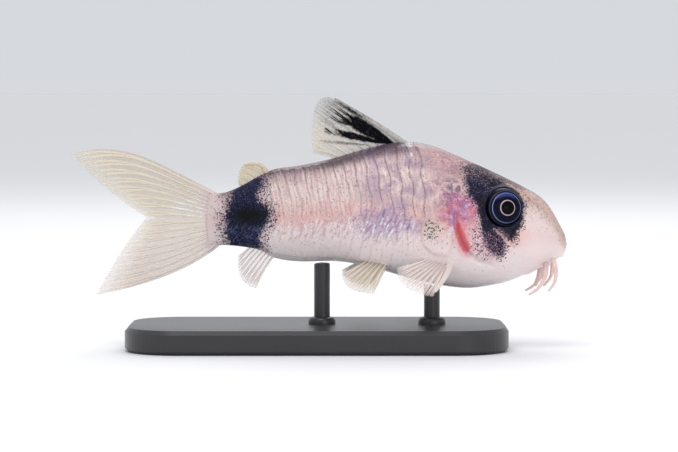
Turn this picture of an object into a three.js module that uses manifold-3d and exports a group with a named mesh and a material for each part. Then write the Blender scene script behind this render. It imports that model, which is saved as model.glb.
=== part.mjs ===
// A panda corydoras, an armoured catfish 50 mm long, as a still life-size model on a display stand.
// Millimetres. +X runs to the snout, +Y to the fish's left side, +Z up.
// The origin is on the ground, midway between the snout and the tip of the tail.

import * as THREE from "three";
import { mergeVertices } from "three/addons/utils/BufferGeometryUtils.js";
import Module from "manifold-3d";

const wasm = await Module();
wasm.setup();

// Driving sizes of the fish
const TOTAL_LENGTH = 50;
const SNOUT_X = TOTAL_LENGTH / 2;
const TAIL_TIP_X = -TOTAL_LENGTH / 2;
const CAUDAL_BASE_X = -10.6;
const LATERAL_LINE_Z = 13.0;
const TAIL_SWING = 2.2;
const TAIL_SWING_START_X = 4;
const GAP = 0.3;

// The body's outline, station by station from the snout to the root of the tail fin:
// top and bottom are heights on the midline, half is the half width, wide the height where it is widest,
// crown below 2 makes the back narrow as a roof, and keel above 2 makes the belly flat.
const STATIONS = [
  { x: SNOUT_X, top: 10.6, bottom: 10.2, half: 0.3, wide: 10.35, crown: 2, keel: 2 },
  { x: 24.8, top: 11.3, bottom: 9.7, half: 1, wide: 10.3, crown: 2, keel: 2 },
  { x: 24.2, top: 12.45, bottom: 9.35, half: 1.6, wide: 10.3, crown: 2, keel: 2.1 },
  { x: 23.6, top: 13.55, bottom: 8.95, half: 2.05, wide: 10.3, crown: 2, keel: 2.2 },
  { x: 22.9, top: 14.55, bottom: 8.5, half: 2.45, wide: 10.35, crown: 1.95, keel: 2.3 },
  { x: 22, top: 15.35, bottom: 7.95, half: 2.85, wide: 10.4, crown: 1.9, keel: 2.4 },
  { x: 20.6, top: 16.15, bottom: 7.3, half: 3.35, wide: 10.5, crown: 1.9, keel: 2.5 },
  { x: 18.8, top: 17.05, bottom: 6.6, half: 3.85, wide: 10.6, crown: 1.9, keel: 2.6 },
  { x: 17, top: 17.9, bottom: 6.25, half: 4.25, wide: 10.7, crown: 1.85, keel: 2.7 },
  { x: 15.3, top: 18.65, bottom: 6.05, half: 4.5, wide: 10.8, crown: 1.8, keel: 2.8 },
  { x: 13.5, top: 19.45, bottom: 6.15, half: 4.65, wide: 11, crown: 1.75, keel: 2.8 },
  { x: 11.7, top: 20.15, bottom: 6.45, half: 4.65, wide: 11.2, crown: 1.7, keel: 2.7 },
  { x: 9.6, top: 20.6, bottom: 6.9, half: 4.4, wide: 11.5, crown: 1.65, keel: 2.6 },
  { x: 7.2, top: 20.45, bottom: 7.6, half: 4.05, wide: 11.8, crown: 1.65, keel: 2.5 },
  { x: 4.4, top: 19.8, bottom: 8.35, half: 3.55, wide: 12.2, crown: 1.7, keel: 2.3 },
  { x: 1.5, top: 18.95, bottom: 8.7, half: 2.95, wide: 12.6, crown: 1.75, keel: 2.2 },
  { x: -1.8, top: 18.25, bottom: 8.65, half: 2.35, wide: 12.9, crown: 1.85, keel: 2.1 },
  { x: -4.2, top: 17.9, bottom: 9, half: 1.9, wide: 13, crown: 1.9, keel: 2.1 },
  { x: -5.6, top: 17.3, bottom: 9.75, half: 1.65, wide: 13, crown: 2, keel: 2.1 },
  { x: -7.4, top: 16.3, bottom: 10.1, half: 1.35, wide: 13, crown: 2.1, keel: 2.1 },
  { x: -9, top: 15.6, bottom: 10.25, half: 1.1, wide: 13, crown: 2.2, keel: 2.2 },
  { x: CAUDAL_BASE_X, top: 15.5, bottom: 10.3, half: 0.8, wide: 13, crown: 2.4, keel: 2.4 },
];
const RING_SIDES = 24;

// Where the body parts: the gill opening's arc, and the plane in front of the adipose fin
const GILL_ARC = { x: 13.5, bow: 1.1, top: 23, bottom: 4 };
const PEDUNCLE_X = -4.2;

// The bony plates of each flank
const PLATE_ROWS_END_X = -9.9;
const PLATE_STEPS = 3;
const PLATE_LIFT = 0.3;
const PLATE_VARIATION = 0.12;
const BARE_AT_FINS = [{ x: 6.1, y: 2.7, z: 8.3, radius: 1.5 }];
const PLATE_ROOT_DEPTH = 0.35;
const PLATE_ROWS = [
  { start: 11.9, plates: 20, back: 0.34, slantFront: 0.1, slantRear: 0.42 },
  { start: 10.4, plates: 19, belly: 2.62, slantFront: 0.16, slantRear: 0.5 },
];

// The eyes, nostrils, mouth and gill covers
const EYE = { x: 18.6, z: 14.1, radius: 1.75, depth: 1.2, proud: 0.55, forward: 0.25, up: 0.08 };
const ORBIT_RIM = 0.3;
const NOSTRILS = [
  { x: 21.3, z: 14.8, radius: 0.36 },
  { x: 22.1, z: 14.0, radius: 0.3 },
];
const MOUTH = { x: 23.55, z: 8.95, halfWidth: 1.35, halfLength: 0.8, lip: 0.42, pitch: -0.62 };
const GILL_COVER = { x: 15.8, z: 11.05, halfLength: 1.85, halfHeight: 2.75, lean: 0.22, depth: 0.75 };
const GILL_COVER_LIFT = 0.18;

// The display stand
const STAND_BASE = { length: 38, width: 18, thickness: 2.4, corner: 5, edge: 0.4 };
const STAND_ROD_RADIUS = 0.8;
const STAND_RODS = { stand_rod_front: 11.5, stand_rod_rear: 0.5 };

const FLESH = new THREE.MeshStandardMaterial({ color: 0xe3cdc6, roughness: 0.45, metalness: 0.05 });
const BLOTCH = new THREE.MeshStandardMaterial({ color: 0x6a6480, roughness: 0.45, metalness: 0.05 });
const CHEEK = new THREE.MeshStandardMaterial({ color: 0xd9a3a8, roughness: 0.4, metalness: 0.05 });
const MEMBRANE = new THREE.MeshStandardMaterial({ color: 0xe6dfc8, roughness: 0.35, metalness: 0 });
const SAIL = new THREE.MeshStandardMaterial({ color: 0x5b5a63, roughness: 0.4, metalness: 0 });
const EYE_BALL = new THREE.MeshStandardMaterial({ color: 0x10122c, roughness: 0.08, metalness: 0 });
const BARBEL = new THREE.MeshStandardMaterial({ color: 0xecd0cc, roughness: 0.45, metalness: 0 });
const STAND = new THREE.MeshStandardMaterial({ color: 0x2b2a2c, roughness: 0.35, metalness: 0 });

const point = (x, y, z) => new THREE.Vector3(x, y, z);
const mix = (a, b, t) => a + (b - a) * t;

// Closed solids out of three.js geometry, and back
function solid(geometry) {
  const bare = geometry.index ? geometry.toNonIndexed() : geometry.clone();
  bare.deleteAttribute("normal");
  bare.deleteAttribute("uv");
  const merged = mergeVertices(bare, 1e-5);
  const vertProperties = merged.attributes.position.array;
  const triVerts = new Uint32Array(merged.index.array);
  const made = new wasm.Manifold(new wasm.Mesh({ numProp: 3, vertProperties, triVerts }));
  if (made.volume() > 0) return made;
  for (let i = 0; i < triVerts.length; i += 3) {
    [triVerts[i + 1], triVerts[i + 2]] = [triVerts[i + 2], triVerts[i + 1]];
  }
  return new wasm.Manifold(new wasm.Mesh({ numProp: 3, vertProperties, triVerts }));
}

const largest = (body) => body.decompose().reduce((a, b) => (a.volume() > b.volume() ? a : b));
const joined = (bodies) => bodies.reduce((whole, body) => whole.add(body));

function geometryOf(body) {
  const mesh = body.getMesh();
  const positions = new Float32Array(mesh.numVert * 3);
  for (let i = 0; i < mesh.numVert; i++) {
    positions.set(mesh.vertProperties.subarray(i * mesh.numProp, i * mesh.numProp + 3), i * 3);
  }
  return new THREE.BufferGeometry()
    .setAttribute("position", new THREE.BufferAttribute(positions, 3))
    .setIndex(new THREE.BufferAttribute(new Uint32Array(mesh.triVerts), 1));
}

function indexed(points, triangles) {
  return new THREE.BufferGeometry().setFromPoints(points).setIndex(triangles);
}

// A skin through rings of equally many points. A ring of one point is a pole; the other ends close flat.
function loft(rings) {
  const starts = rings.map((_, i) => rings.slice(0, i).reduce((n, ring) => n + ring.length, 0));
  const triangles = [];
  for (let i = 0; i + 1 < rings.length; i++) {
    const sides = Math.max(rings[i].length, rings[i + 1].length);
    const at = (k, j) => starts[k] + (rings[k].length === 1 ? 0 : j % sides);
    for (let j = 0; j < sides; j++) {
      if (rings[i].length > 1) triangles.push(at(i, j), at(i, j + 1), at(i + 1, j + 1));
      if (rings[i + 1].length > 1) triangles.push(at(i, j), at(i + 1, j + 1), at(i + 1, j));
    }
  }
  const last = rings.length - 1;
  for (let j = 1; j + 1 < rings[0].length; j++) triangles.push(0, j + 1, j);
  for (let j = 1; j + 1 < rings[last].length; j++) {
    triangles.push(starts[last], starts[last] + j, starts[last] + j + 1);
  }
  return indexed(rings.flat(), triangles);
}

// A thin closed sheet between two grids of points, split into triangles alike on both faces
function sheet(front, back) {
  const rows = front.length;
  const columns = front[0].length;
  const at = (face, i, j) => (face * rows + i) * columns + j;
  const triangles = [];
  const quad = (a, b, c, d) => triangles.push(a, b, c, a, c, d);
  for (let i = 0; i + 1 < rows; i++) {
    for (let j = 0; j + 1 < columns; j++) {
      triangles.push(at(0, i, j), at(0, i, j + 1), at(0, i + 1, j + 1));
      triangles.push(at(0, i, j), at(0, i + 1, j + 1), at(0, i + 1, j));
      triangles.push(at(1, i, j), at(1, i + 1, j + 1), at(1, i, j + 1));
      triangles.push(at(1, i, j), at(1, i + 1, j), at(1, i + 1, j + 1));
    }
  }
  for (let i = 0; i + 1 < rows; i++) {
    quad(at(0, i, 0), at(0, i + 1, 0), at(1, i + 1, 0), at(1, i, 0));
    quad(at(0, i + 1, columns - 1), at(0, i, columns - 1), at(1, i, columns - 1), at(1, i + 1, columns - 1));
  }
  for (let j = 0; j + 1 < columns; j++) {
    quad(at(0, 0, j + 1), at(0, 0, j), at(1, 0, j), at(1, 0, j + 1));
    quad(at(0, rows - 1, j), at(0, rows - 1, j + 1), at(1, rows - 1, j + 1), at(1, rows - 1, j));
  }
  return indexed([...front.flat(), ...back.flat()], triangles);
}

// The outline's value at any x, on a smooth curve through the stations
function outline(x, key) {
  const last = STATIONS.length - 1;
  let i = 0;
  while (i < last - 1 && x < STATIONS[i + 1].x) i++;
  const [a, b] = [STATIONS[i], STATIONS[i + 1]];
  const before = STATIONS[Math.max(i - 1, 0)];
  const after = STATIONS[Math.min(i + 2, last)];
  const t = THREE.MathUtils.clamp((x - a.x) / (b.x - a.x), 0, 1);
  const slopeA = ((b[key] - before[key]) / (b.x - before.x)) * (b.x - a.x);
  const slopeB = ((after[key] - a[key]) / (after.x - a.x)) * (b.x - a.x);
  const t2 = t * t;
  const t3 = t2 * t;
  return (
    (2 * t3 - 3 * t2 + 1) * a[key] + (t3 - 2 * t2 + t) * slopeA +
    (3 * t2 - 2 * t3) * b[key] + (t3 - t2) * slopeB
  );
}

// A point of the body's skin: angle 0 is the back, half a turn the belly, and side is 1 on the left
function skinPoint(x, angle, side = 1) {
  const wide = outline(x, "wide");
  const above = Math.cos(angle) >= 0;
  const power = 2 / outline(x, above ? "crown" : "keel");
  const reach = above ? outline(x, "top") - wide : wide - outline(x, "bottom");
  const level = above ? Math.cos(angle) : -(Math.abs(Math.cos(angle)) ** power);
  const rise = reach * level;
  const out = outline(x, "half") * Math.abs(Math.sin(angle)) ** power;
  return point(x, side * out, wide + rise);
}

function skinNormal(x, angle, side = 1) {
  const step = 0.02;
  const along = skinPoint(x + step, angle, side).sub(skinPoint(x - step, angle, side));
  const round = skinPoint(x, angle + step, side).sub(skinPoint(x, angle - step, side));
  return round.cross(along).multiplyScalar(side).normalize();
}

// The whole body's smooth skin, grown or shrunk all round
function bodySkin(grow = 0) {
  const xs = [24.93, 24.75, 24.4, 23.9, 23.3, 22.6, 21.7, 20.6, 19.4, 18.1, 16.7, 15.2, 13.6, 11.9];
  for (let x = 10; x > -2.5; x -= 2.2) xs.push(x);
  for (let x = -4.2; x > CAUDAL_BASE_X + 1; x -= 1.5) xs.push(x);
  xs.push(CAUDAL_BASE_X);
  const rings = xs.map((x) =>
    Array.from({ length: RING_SIDES }, (_, j) => {
      const turn = (2 * Math.PI * j) / RING_SIDES;
      const side = turn <= Math.PI ? 1 : -1;
      return skinPoint(x, side > 0 ? turn : 2 * Math.PI - turn, side);
    }),
  );
  const geometry = loft([[point(SNOUT_X, 0, 10.35)], ...rings]);
  if (grow === 0) return solid(geometry);
  geometry.computeVertexNormals();
  const { position, normal } = geometry.attributes;
  const outward = normal.getX(0) > 0 ? grow : -grow;
  for (let i = 0; i < position.count; i++) {
    const moved = point().fromBufferAttribute(position, i);
    moved.addScaledVector(point().fromBufferAttribute(normal, i), outward);
    position.setXYZ(i, moved.x, moved.y, moved.z);
  }
  return solid(geometry);
}

const cutter = bodySkin(GAP);

// A fixed sequence of small draws between -1 and 1
function draws(seed) {
  let state = seed;
  return () => {
    state = (state * 16807) % 2147483647;
    return (2 * state) / 2147483647 - 1;
  };
}

// The angle at which the flank crosses the lateral line, and the half gap the two rows keep to it
const ROW_MARGIN = 0.07;
function lateralAngle(x) {
  const wide = outline(x, "wide");
  return Math.acos(THREE.MathUtils.clamp((LATERAL_LINE_Z - wide) / (outline(x, "top") - wide), 0, 1));
}

// One bony plate: a wedge bent round the flank, sunk in front and standing proud at its rear edge
function plate(row, side, front, rear, slant, lift) {
  const sections = [];
  const line = lateralAngle(rear);
  const [from, to] = row.back ? [row.back, line - ROW_MARGIN] : [line + ROW_MARGIN, row.belly];
  for (let k = 0; k <= PLATE_STEPS; k++) {
    const t = k / PLATE_STEPS;
    const angle = mix(from, to, t);
    const height = Math.abs(skinPoint(rear, angle).z - LATERAL_LINE_Z);
    const lean = -slant * height;
    const rounding = 0.16 * (2 * t - 1) ** 2;
    const at = (x, lift) => {
      const clamped = Math.max(x, CAUDAL_BASE_X + 0.05);
      return skinPoint(clamped, angle, side).addScaledVector(skinNormal(clamped, angle, side), lift);
    };
    const fade = 1 - 0.45 * (2 * t - 1) ** 2;
    const rearEdge = rear + lean + rounding;
    sections.push([
      at(front + lean, -PLATE_ROOT_DEPTH),
      at(rearEdge, lift * fade),
      at(rearEdge, -PLATE_ROOT_DEPTH),
    ]);
  }
  return solid(loft(sections));
}

// Both rows of both flanks, longest at the shoulder and shorter to the tail
function platesOf() {
  const plates = [];
  const draw = draws(11);
  const edge = (row, i) => {
    const share = i / row.plates;
    return row.start - (row.start - PLATE_ROWS_END_X) * (1.22 * share - 0.22 * share ** 2);
  };
  for (const row of PLATE_ROWS) {
    for (const side of [1, -1]) {
      for (let i = 0; i < row.plates; i++) {
        const slant = mix(row.slantFront, row.slantRear, i / row.plates);
        const rear = edge(row, i + 1) + 0.05 * draw();
        const lift = PLATE_LIFT * (1 + PLATE_VARIATION * draw());
        plates.push(plate(row, side, edge(row, i) - 0.12, rear, slant, lift));
      }
    }
  }
  const bare = BARE_AT_FINS.flatMap(({ x, y, z, radius }) =>
    [1, -1].map((side) => solid(new THREE.SphereGeometry(radius, 8, 5).translate(x, side * y, z))),
  );
  return joined(plates).subtract(joined(bare));
}

// The prism of an outline in the fish's side view, right through it
function sideCut(shape, depth = 14) {
  const prism = new THREE.ExtrudeGeometry(shape, { depth, bevelEnabled: false, curveSegments: 10 });
  prism.rotateX(Math.PI / 2);
  prism.translate(0, depth / 2, 0);
  return solid(prism);
}

// The thin arc that parts the head from the trunk along the gill opening
function gillArcCut() {
  const xs = (z) => GILL_ARC.x - GILL_ARC.bow * (1 - ((z - 12) / 9) ** 2);
  const heights = Array.from({ length: 13 }, (_, i) => mix(GILL_ARC.bottom, GILL_ARC.top, i / 12));
  const front = heights.map((z) => new THREE.Vector2(xs(z) + GAP / 2, z));
  const rear = heights.map((z) => new THREE.Vector2(xs(z) - GAP / 2, z)).reverse();
  return sideCut(new THREE.Shape([...front, ...rear]));
}

function slab(low, high) {
  const size = point().subVectors(high, low);
  const box = new THREE.BoxGeometry(size.x, size.y, size.z);
  return solid(box.translate(...point().addVectors(low, high).multiplyScalar(0.5).toArray()));
}

// The gill cover's outline in side view, grown by a margin
function gillCoverShape(margin) {
  const shape = new THREE.Shape();
  const [a, b] = [GILL_COVER.halfLength + margin, GILL_COVER.halfHeight + margin];
  shape.absellipse(GILL_COVER.x, GILL_COVER.z, a, b, 0, 2 * Math.PI, false, GILL_COVER.lean);
  return shape;
}

const oneSide = (side) => slab(point(0, side > 0 ? 0 : -9, 0), point(30, side > 0 ? 9 : 0, 30));

function gillCover(side) {
  const whole = sideCut(gillCoverShape(0)).intersect(bodySkin(GILL_COVER_LIFT));
  const clear = joined([bodySkin(-GILL_COVER.depth), eyeSolid(side, GAP + 2 * ORBIT_RIM)]);
  return largest(whole.subtract(clear).intersect(oneSide(side)));
}

function gillRecesses() {
  const kept = [1, -1].map((side) => eyeSolid(side, 2 * ORBIT_RIM));
  return sideCut(gillCoverShape(GAP)).subtract(joined([bodySkin(-GILL_COVER.depth - GAP), ...kept]));
}

// A flattened ball set in the orbit and turned a little forward and up
function eyeSolid(side, grow = 0) {
  const ball = new THREE.SphereGeometry(1, 16, 10);
  ball.rotateX(Math.PI / 2);
  ball.scale(EYE.radius + grow, EYE.depth + grow, EYE.radius + grow);
  return solid(placedAtEye(ball, side, EYE.proud - EYE.depth));
}

// Turns a shape whose own outward axis is +Y to the eye's axis, at a depth under the skin
function placedAtEye(geometry, side, out) {
  geometry.rotateX(side > 0 ? 0 : Math.PI);
  geometry.rotateX(side * EYE.up);
  geometry.rotateZ(-side * EYE.forward);
  const skin = skinHalfWidth(EYE.x, EYE.z);
  return geometry.translate(EYE.x, side * (skin + out), EYE.z);
}

// The body's half width at a height above its widest point
function skinHalfWidth(x, z) {
  const wide = outline(x, "wide");
  const share = (z - wide) / (outline(x, "top") - wide);
  return outline(x, "half") * (1 - share ** 2) ** (1 / outline(x, "crown"));
}

function orbitRim(side) {
  const ring = new THREE.TorusGeometry(EYE.radius + GAP + ORBIT_RIM * 0.55, ORBIT_RIM, 6, 20);
  ring.rotateX(Math.PI / 2);
  return solid(placedAtEye(ring, side, -0.12));
}

// A nostril's raised rim, and the pit in it
function nostril(place, side) {
  const rim = new THREE.TorusGeometry(place.radius, 0.15, 5, 8);
  const pit = new THREE.SphereGeometry(place.radius * 0.8, 7, 5);
  const spot = point(place.x, side * skinHalfWidth(place.x, place.z), place.z);
  const facing = new THREE.Quaternion().setFromUnitVectors(point(0, 0, 1), point(0.45, side * 0.8, 0.42).normalize());
  for (const shape of [rim, pit]) shape.applyQuaternion(facing).translate(...spot.toArray());
  return { rim: solid(rim), pit: solid(pit) };
}

// The lips: a flat ring under the snout, facing down and forward, and the slit between them
function lips() {
  const ring = new THREE.TorusGeometry(1, MOUTH.lip, 6, 16);
  ring.scale(MOUTH.halfLength, MOUTH.halfWidth, 1);
  ring.rotateY(MOUTH.pitch + Math.PI);
  ring.translate(MOUTH.x, 0, MOUTH.z);
  return solid(ring);
}

function mouthSlit() {
  const slit = new THREE.SphereGeometry(1, 10, 6);
  slit.scale(MOUTH.halfLength * 0.5, MOUTH.halfWidth * 0.85, 0.75);
  slit.rotateY(MOUTH.pitch + Math.PI);
  slit.translate(MOUTH.x, 0, MOUTH.z - 0.1);
  return solid(slit);
}

// A feeler: a round taper along a curve, with its root sunk towards the head
function feeler(knots, rootRadius, tipRadius, steps = 7, sides = 7) {
  const curve = new THREE.CatmullRomCurve3(knots.map((k) => point(...k)));
  const frames = curve.computeFrenetFrames(steps, false);
  const rings = Array.from({ length: steps + 1 }, (_, i) => {
    const radius = mix(rootRadius, tipRadius, i / steps);
    return Array.from({ length: sides }, (_, j) => {
      const turn = (2 * Math.PI * j) / sides;
      return curve
        .getPointAt(i / steps)
        .addScaledVector(frames.normals[i], radius * Math.cos(turn))
        .addScaledVector(frames.binormals[i], radius * Math.sin(turn));
    });
  });
  return solid(loft([...rings, [curve.getPointAt(1).addScaledVector(curve.getTangentAt(1), tipRadius)]]));
}

// A fin: rays fan from a base line to a tip line, each a ridge on both faces of a thin membrane.
// base and tip give a point for 0, the leading ray, to 1, the last, and bulge bends the rays between.
function fin({ rays, base, tip, bulge, facing, steps = 6, root = 0.42, end = 0.2, web = 0.25, webEnd = 0.15 }) {
  const columns = 2 * rays - 1;
  const grids = [[], []];
  for (let i = 0; i <= steps; i++) {
    const v = i / steps;
    const rows = [[], []];
    for (let j = 0; j < columns; j++) {
      const u = j / (columns - 1);
      const [from, to] = [base(u), tip(u)];
      const middle = point().addVectors(from, to).multiplyScalar(0.5).add(bulge(u));
      const ray = new THREE.QuadraticBezierCurve3(from, middle, to);
      const spot = ray.getPoint(v);
      const valley = j % 2 === 1;
      const notch = valley && i === steps ? -0.18 : 0;
      spot.addScaledVector(ray.getTangent(v), notch);
      const half = valley ? mix(web, webEnd, v) : mix(root, end, v);
      const normal = facing(u, v);
      rows[0].push(spot.clone().addScaledVector(normal, half));
      rows[1].push(spot.clone().addScaledVector(normal, -half));
    }
    grids[0].push(rows[0]);
    grids[1].push(rows[1]);
  }
  return solid(sheet(grids[0], grids[1]));
}

const sideways = () => point(0, 1, 0);
const line = (a, b) => (u) => point(...a).lerp(point(...b), u);
const arc = (a, b, c) => {
  const curve = new THREE.QuadraticBezierCurve3(point(...a), point(...b), point(...c));
  return (u) => curve.getPoint(u);
};
const fading = (x, y, z) => (u) => point(x, y, z).multiplyScalar(1 - u);

// The forked tail fin's two lobes, above and below the lateral line
function caudalLobes() {
  const rootX = CAUDAL_BASE_X - GAP;
  const forkX = -17.3;
  const upper = fin({
    rays: 8,
    base: line([rootX, 0, 15.4], [rootX, 0, LATERAL_LINE_Z + GAP / 2]),
    tip: arc([TAIL_TIP_X, 0, 19.3], [-21.9, 0, 15.9], [forkX, 0, LATERAL_LINE_Z + GAP / 2]),
    bulge: fading(0.3, 0, 3.2),
    facing: sideways,
    steps: 7,
  });
  const lower = fin({
    rays: 8,
    base: line([rootX, 0, 10.4], [rootX, 0, LATERAL_LINE_Z - GAP / 2]),
    tip: arc([-22.4, 0, 5.1], [-20.3, 0, 9.2], [forkX, 0, LATERAL_LINE_Z - GAP / 2]),
    bulge: fading(2.2, 0, -0.9),
    facing: sideways,
    steps: 7,
  });
  return { caudal_fin_upper_lobe: upper, caudal_fin_lower_lobe: lower };
}

// The sail on the back, with its stout first spine
function dorsalFin() {
  const sail = fin({
    rays: 8,
    base: line([9.2, 0, 20.0], [2.6, 0, 18.6]),
    tip: arc([1.2, 0, 25.1], [-0.9, 0, 25.6], [-0.5, 0, 19.5]),
    bulge: (u) => point(0, 0, 0.35 * (1 - u) + 0.2 * u),
    facing: sideways,
  });
  const spine = feeler([[9.5, 0, 19.9], [5.9, 0, 22.35], [1.6, 0, 25]], 0.5, 0.22, 5, 8);
  return largest(sail.add(spine).subtract(cutter));
}

function adiposeFin() {
  const web = fin({
    rays: 3,
    base: line([-4.8, 0, 17.1], [-7.4, 0, 15.8]),
    tip: arc([-7.4, 0, 18.3], [-8.0, 0, 17.7], [-7.9, 0, 16.4]),
    bulge: fading(0.35, 0, 0.75),
    facing: sideways,
    steps: 4,
    root: 0.32,
  });
  const spine = feeler([[-4.75, 0, 17.2], [-5.8, 0, 18.35], [-7.3, 0, 18.3]], 0.4, 0.22, 5, 8);
  return largest(web.add(spine).subtract(cutter));
}

function analFin() {
  const web = fin({
    rays: 7,
    base: line([-3.9, 0, 9.5], [-6.2, 0, 10.7]),
    tip: arc([-6.1, 0, 5.9], [-8.2, 0, 6.3], [-7.9, 0, 9.2]),
    bulge: (u) => point(-0.25, 0, 0.25 * (1 - 2 * u)),
    facing: sideways,
    steps: 5,
  });
  return largest(web.subtract(cutter));
}

// A paired fin, spread out from the flank: the normal of its plane is taken across its own fan
function pairedFin({ side, rays, base, tip, bulge, steps, spine }) {
  const mirrored = (place) => (u) => place(u).multiply(point(1, side, 1));
  const [from, to] = [mirrored(base), mirrored(tip)];
  const across = point().subVectors(to(1), to(0));
  const outward = point().subVectors(to(0.5), from(0.5));
  const normal = point().crossVectors(across, outward).normalize();
  const web = fin({ rays, base: from, tip: to, bulge: mirrored(bulge), facing: () => normal, steps });
  if (!spine) return largest(web.subtract(cutter));
  const knots = spine.map(([x, y, z]) => [x, y * side, z]);
  return largest(web.add(feeler(knots, 0.5, 0.26, 5, 8)).subtract(cutter));
}

function pectoralFin(side) {
  return pairedFin({
    side,
    rays: 7,
    base: line([13.2, 3.2, 8.9], [11.9, 3.4, 9.4]),
    tip: arc([11.3, 10.2, 5.9], [7.8, 10.1, 6.3], [7.9, 6.0, 8.4]),
    bulge: fading(0.35, 0.3, 0.5),
    steps: 5,
    spine: [[13.35, 3.2, 8.9], [12.8, 6.6, 7.9], [11.5, 9.6, 6.3]],
  });
}

function pelvicFin(side) {
  return pairedFin({
    side,
    rays: 6,
    base: line([7.3, 1.9, 9.0], [5.8, 1.7, 9.4]),
    tip: arc([5.6, 6.3, 5.9], [2.6, 5.8, 5.9], [2.5, 3.1, 7.6]),
    bulge: fading(0.2, 0.2, 0.3),
    steps: 5,
  });
}

// Barbels: two at each corner of the mouth and one short pair under the lower lip
const BARBELS = {
  barbel_upper: [[23.4, 1.3, 9.2], [23.7, 2.3, 8.1], [23.6, 3.1, 6.9], [22.9, 3.6, 5.9]],
  barbel_lower: [[22.8, 1.3, 8.8], [22.7, 2.1, 7.4], [22.0, 2.6, 6.2], [21.0, 2.8, 5.5]],
  barbel_chin: [[22.4, 0.5, 8.7], [22.2, 0.75, 7.3], [21.8, 0.95, 6.2]],
};

function headSolid(raw) {
  const rims = [1, -1].flatMap((side) => [orbitRim(side), ...NOSTRILS.map((n) => nostril(n, side).rim)]);
  const pits = [1, -1].flatMap((side) => [eyeSolid(side, GAP), ...NOSTRILS.map((n) => nostril(n, side).pit)]);
  const bare = raw.add(joined([lips(), ...rims]));
  return largest(bare.subtract(joined([mouthSlit(), gillRecesses(), ...pits])));
}

function standBase() {
  const [x, y] = [STAND_BASE.length / 2 - STAND_BASE.edge, STAND_BASE.width / 2 - STAND_BASE.edge];
  const r = STAND_BASE.corner;
  const shape = new THREE.Shape();
  shape.absarc(x - r, y - r, r, 0, Math.PI / 2);
  shape.absarc(r - x, y - r, r, Math.PI / 2, Math.PI);
  shape.absarc(r - x, r - y, r, Math.PI, 1.5 * Math.PI);
  shape.absarc(x - r, r - y, r, 1.5 * Math.PI, 2 * Math.PI);
  const geometry = new THREE.ExtrudeGeometry(shape, {
    depth: STAND_BASE.thickness - 2 * STAND_BASE.edge,
    bevelSize: STAND_BASE.edge,
    bevelThickness: STAND_BASE.edge,
    bevelSegments: 1,
    curveSegments: 8,
  });
  return solid(geometry.translate(0, 0, STAND_BASE.edge));
}

// A rod from the base to the belly, its top cupped to the skin it carries
function standRod(x) {
  const low = STAND_BASE.thickness + GAP;
  const high = outline(x, "bottom") + 1.5;
  const rod = new THREE.CylinderGeometry(STAND_ROD_RADIUS, STAND_ROD_RADIUS, high - low, 16);
  rod.rotateX(Math.PI / 2);
  return largest(solid(rod.translate(x, 0, (low + high) / 2)).subtract(cutter));
}

// The tail swings a little to the left: every part follows the same curve
function swung(geometry) {
  const { position } = geometry.attributes;
  const reach = TAIL_SWING_START_X - TAIL_TIP_X;
  for (let i = 0; i < position.count; i++) {
    const back = Math.max(TAIL_SWING_START_X - position.getX(i), 0) / reach;
    position.setY(i, position.getY(i) + TAIL_SWING * back * back);
  }
  return geometry;
}

const fish = new THREE.Group();
const stand = new THREE.Group();

function addPart(group, name, body, material) {
  const geometry = geometryOf(body);
  const mesh = new THREE.Mesh(group === fish ? swung(geometry) : geometry, material);
  mesh.name = name;
  group.add(mesh);
}

const whole = bodySkin();
const [headEnd, rest] = whole
  .subtract(gillArcCut())
  .decompose()
  .sort((a, b) => b.boundingBox().max[0] - a.boundingBox().max[0]);
const flank = rest.add(platesOf()).subtract(gillArcCut());
const inFront = slab(point(PEDUNCLE_X + GAP / 2, -12, 0), point(30, 12, 30));
const behind = slab(point(-30, -12, 0), point(PEDUNCLE_X - GAP / 2, 12, 30));

addPart(fish, "head", headSolid(headEnd), FLESH);
addPart(fish, "trunk", largest(flank.intersect(inFront)), FLESH);
addPart(fish, "tail_peduncle", largest(flank.intersect(behind)), BLOTCH);
addPart(fish, "dorsal_fin", dorsalFin(), SAIL);
addPart(fish, "adipose_fin", adiposeFin(), MEMBRANE);
addPart(fish, "anal_fin", analFin(), MEMBRANE);
for (const [name, lobe] of Object.entries(caudalLobes())) addPart(fish, name, lobe, MEMBRANE);
for (const [end, side] of [["left", 1], ["right", -1]]) {
  addPart(fish, `eye_${end}`, eyeSolid(side), EYE_BALL);
  addPart(fish, `gill_cover_${end}`, gillCover(side), CHEEK);
  addPart(fish, `pectoral_fin_${end}`, pectoralFin(side), MEMBRANE);
  addPart(fish, `pelvic_fin_${end}`, pelvicFin(side), MEMBRANE);
  for (const [name, knots] of Object.entries(BARBELS)) {
    const mirrored = knots.map(([x, y, z]) => [x, y * side, z]);
    const thin = name === "barbel_chin" ? 0.3 : 0.38;
    const cut = feeler(mirrored, thin, 0.2).subtract(cutter).subtract(lipsClearance());
    addPart(fish, `${name}_${end}`, largest(cut), BARBEL);
  }
}

// The lips grown by the gap, which the barbels' roots keep clear of
function lipsClearance() {
  const ring = new THREE.TorusGeometry(1, MOUTH.lip + GAP, 6, 16);
  ring.scale(MOUTH.halfLength, MOUTH.halfWidth, 1);
  ring.rotateY(MOUTH.pitch + Math.PI);
  ring.translate(MOUTH.x, 0, MOUTH.z);
  return solid(ring);
}

addPart(stand, "stand_base", standBase(), STAND);
for (const [name, x] of Object.entries(STAND_RODS)) addPart(stand, name, standRod(x), STAND);

const model = new THREE.Group();
model.add(fish, stand);

export default model;
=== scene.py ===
import contextlib
import math
import bpy
import numpy as np
from mathutils import Matrix, Vector


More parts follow.
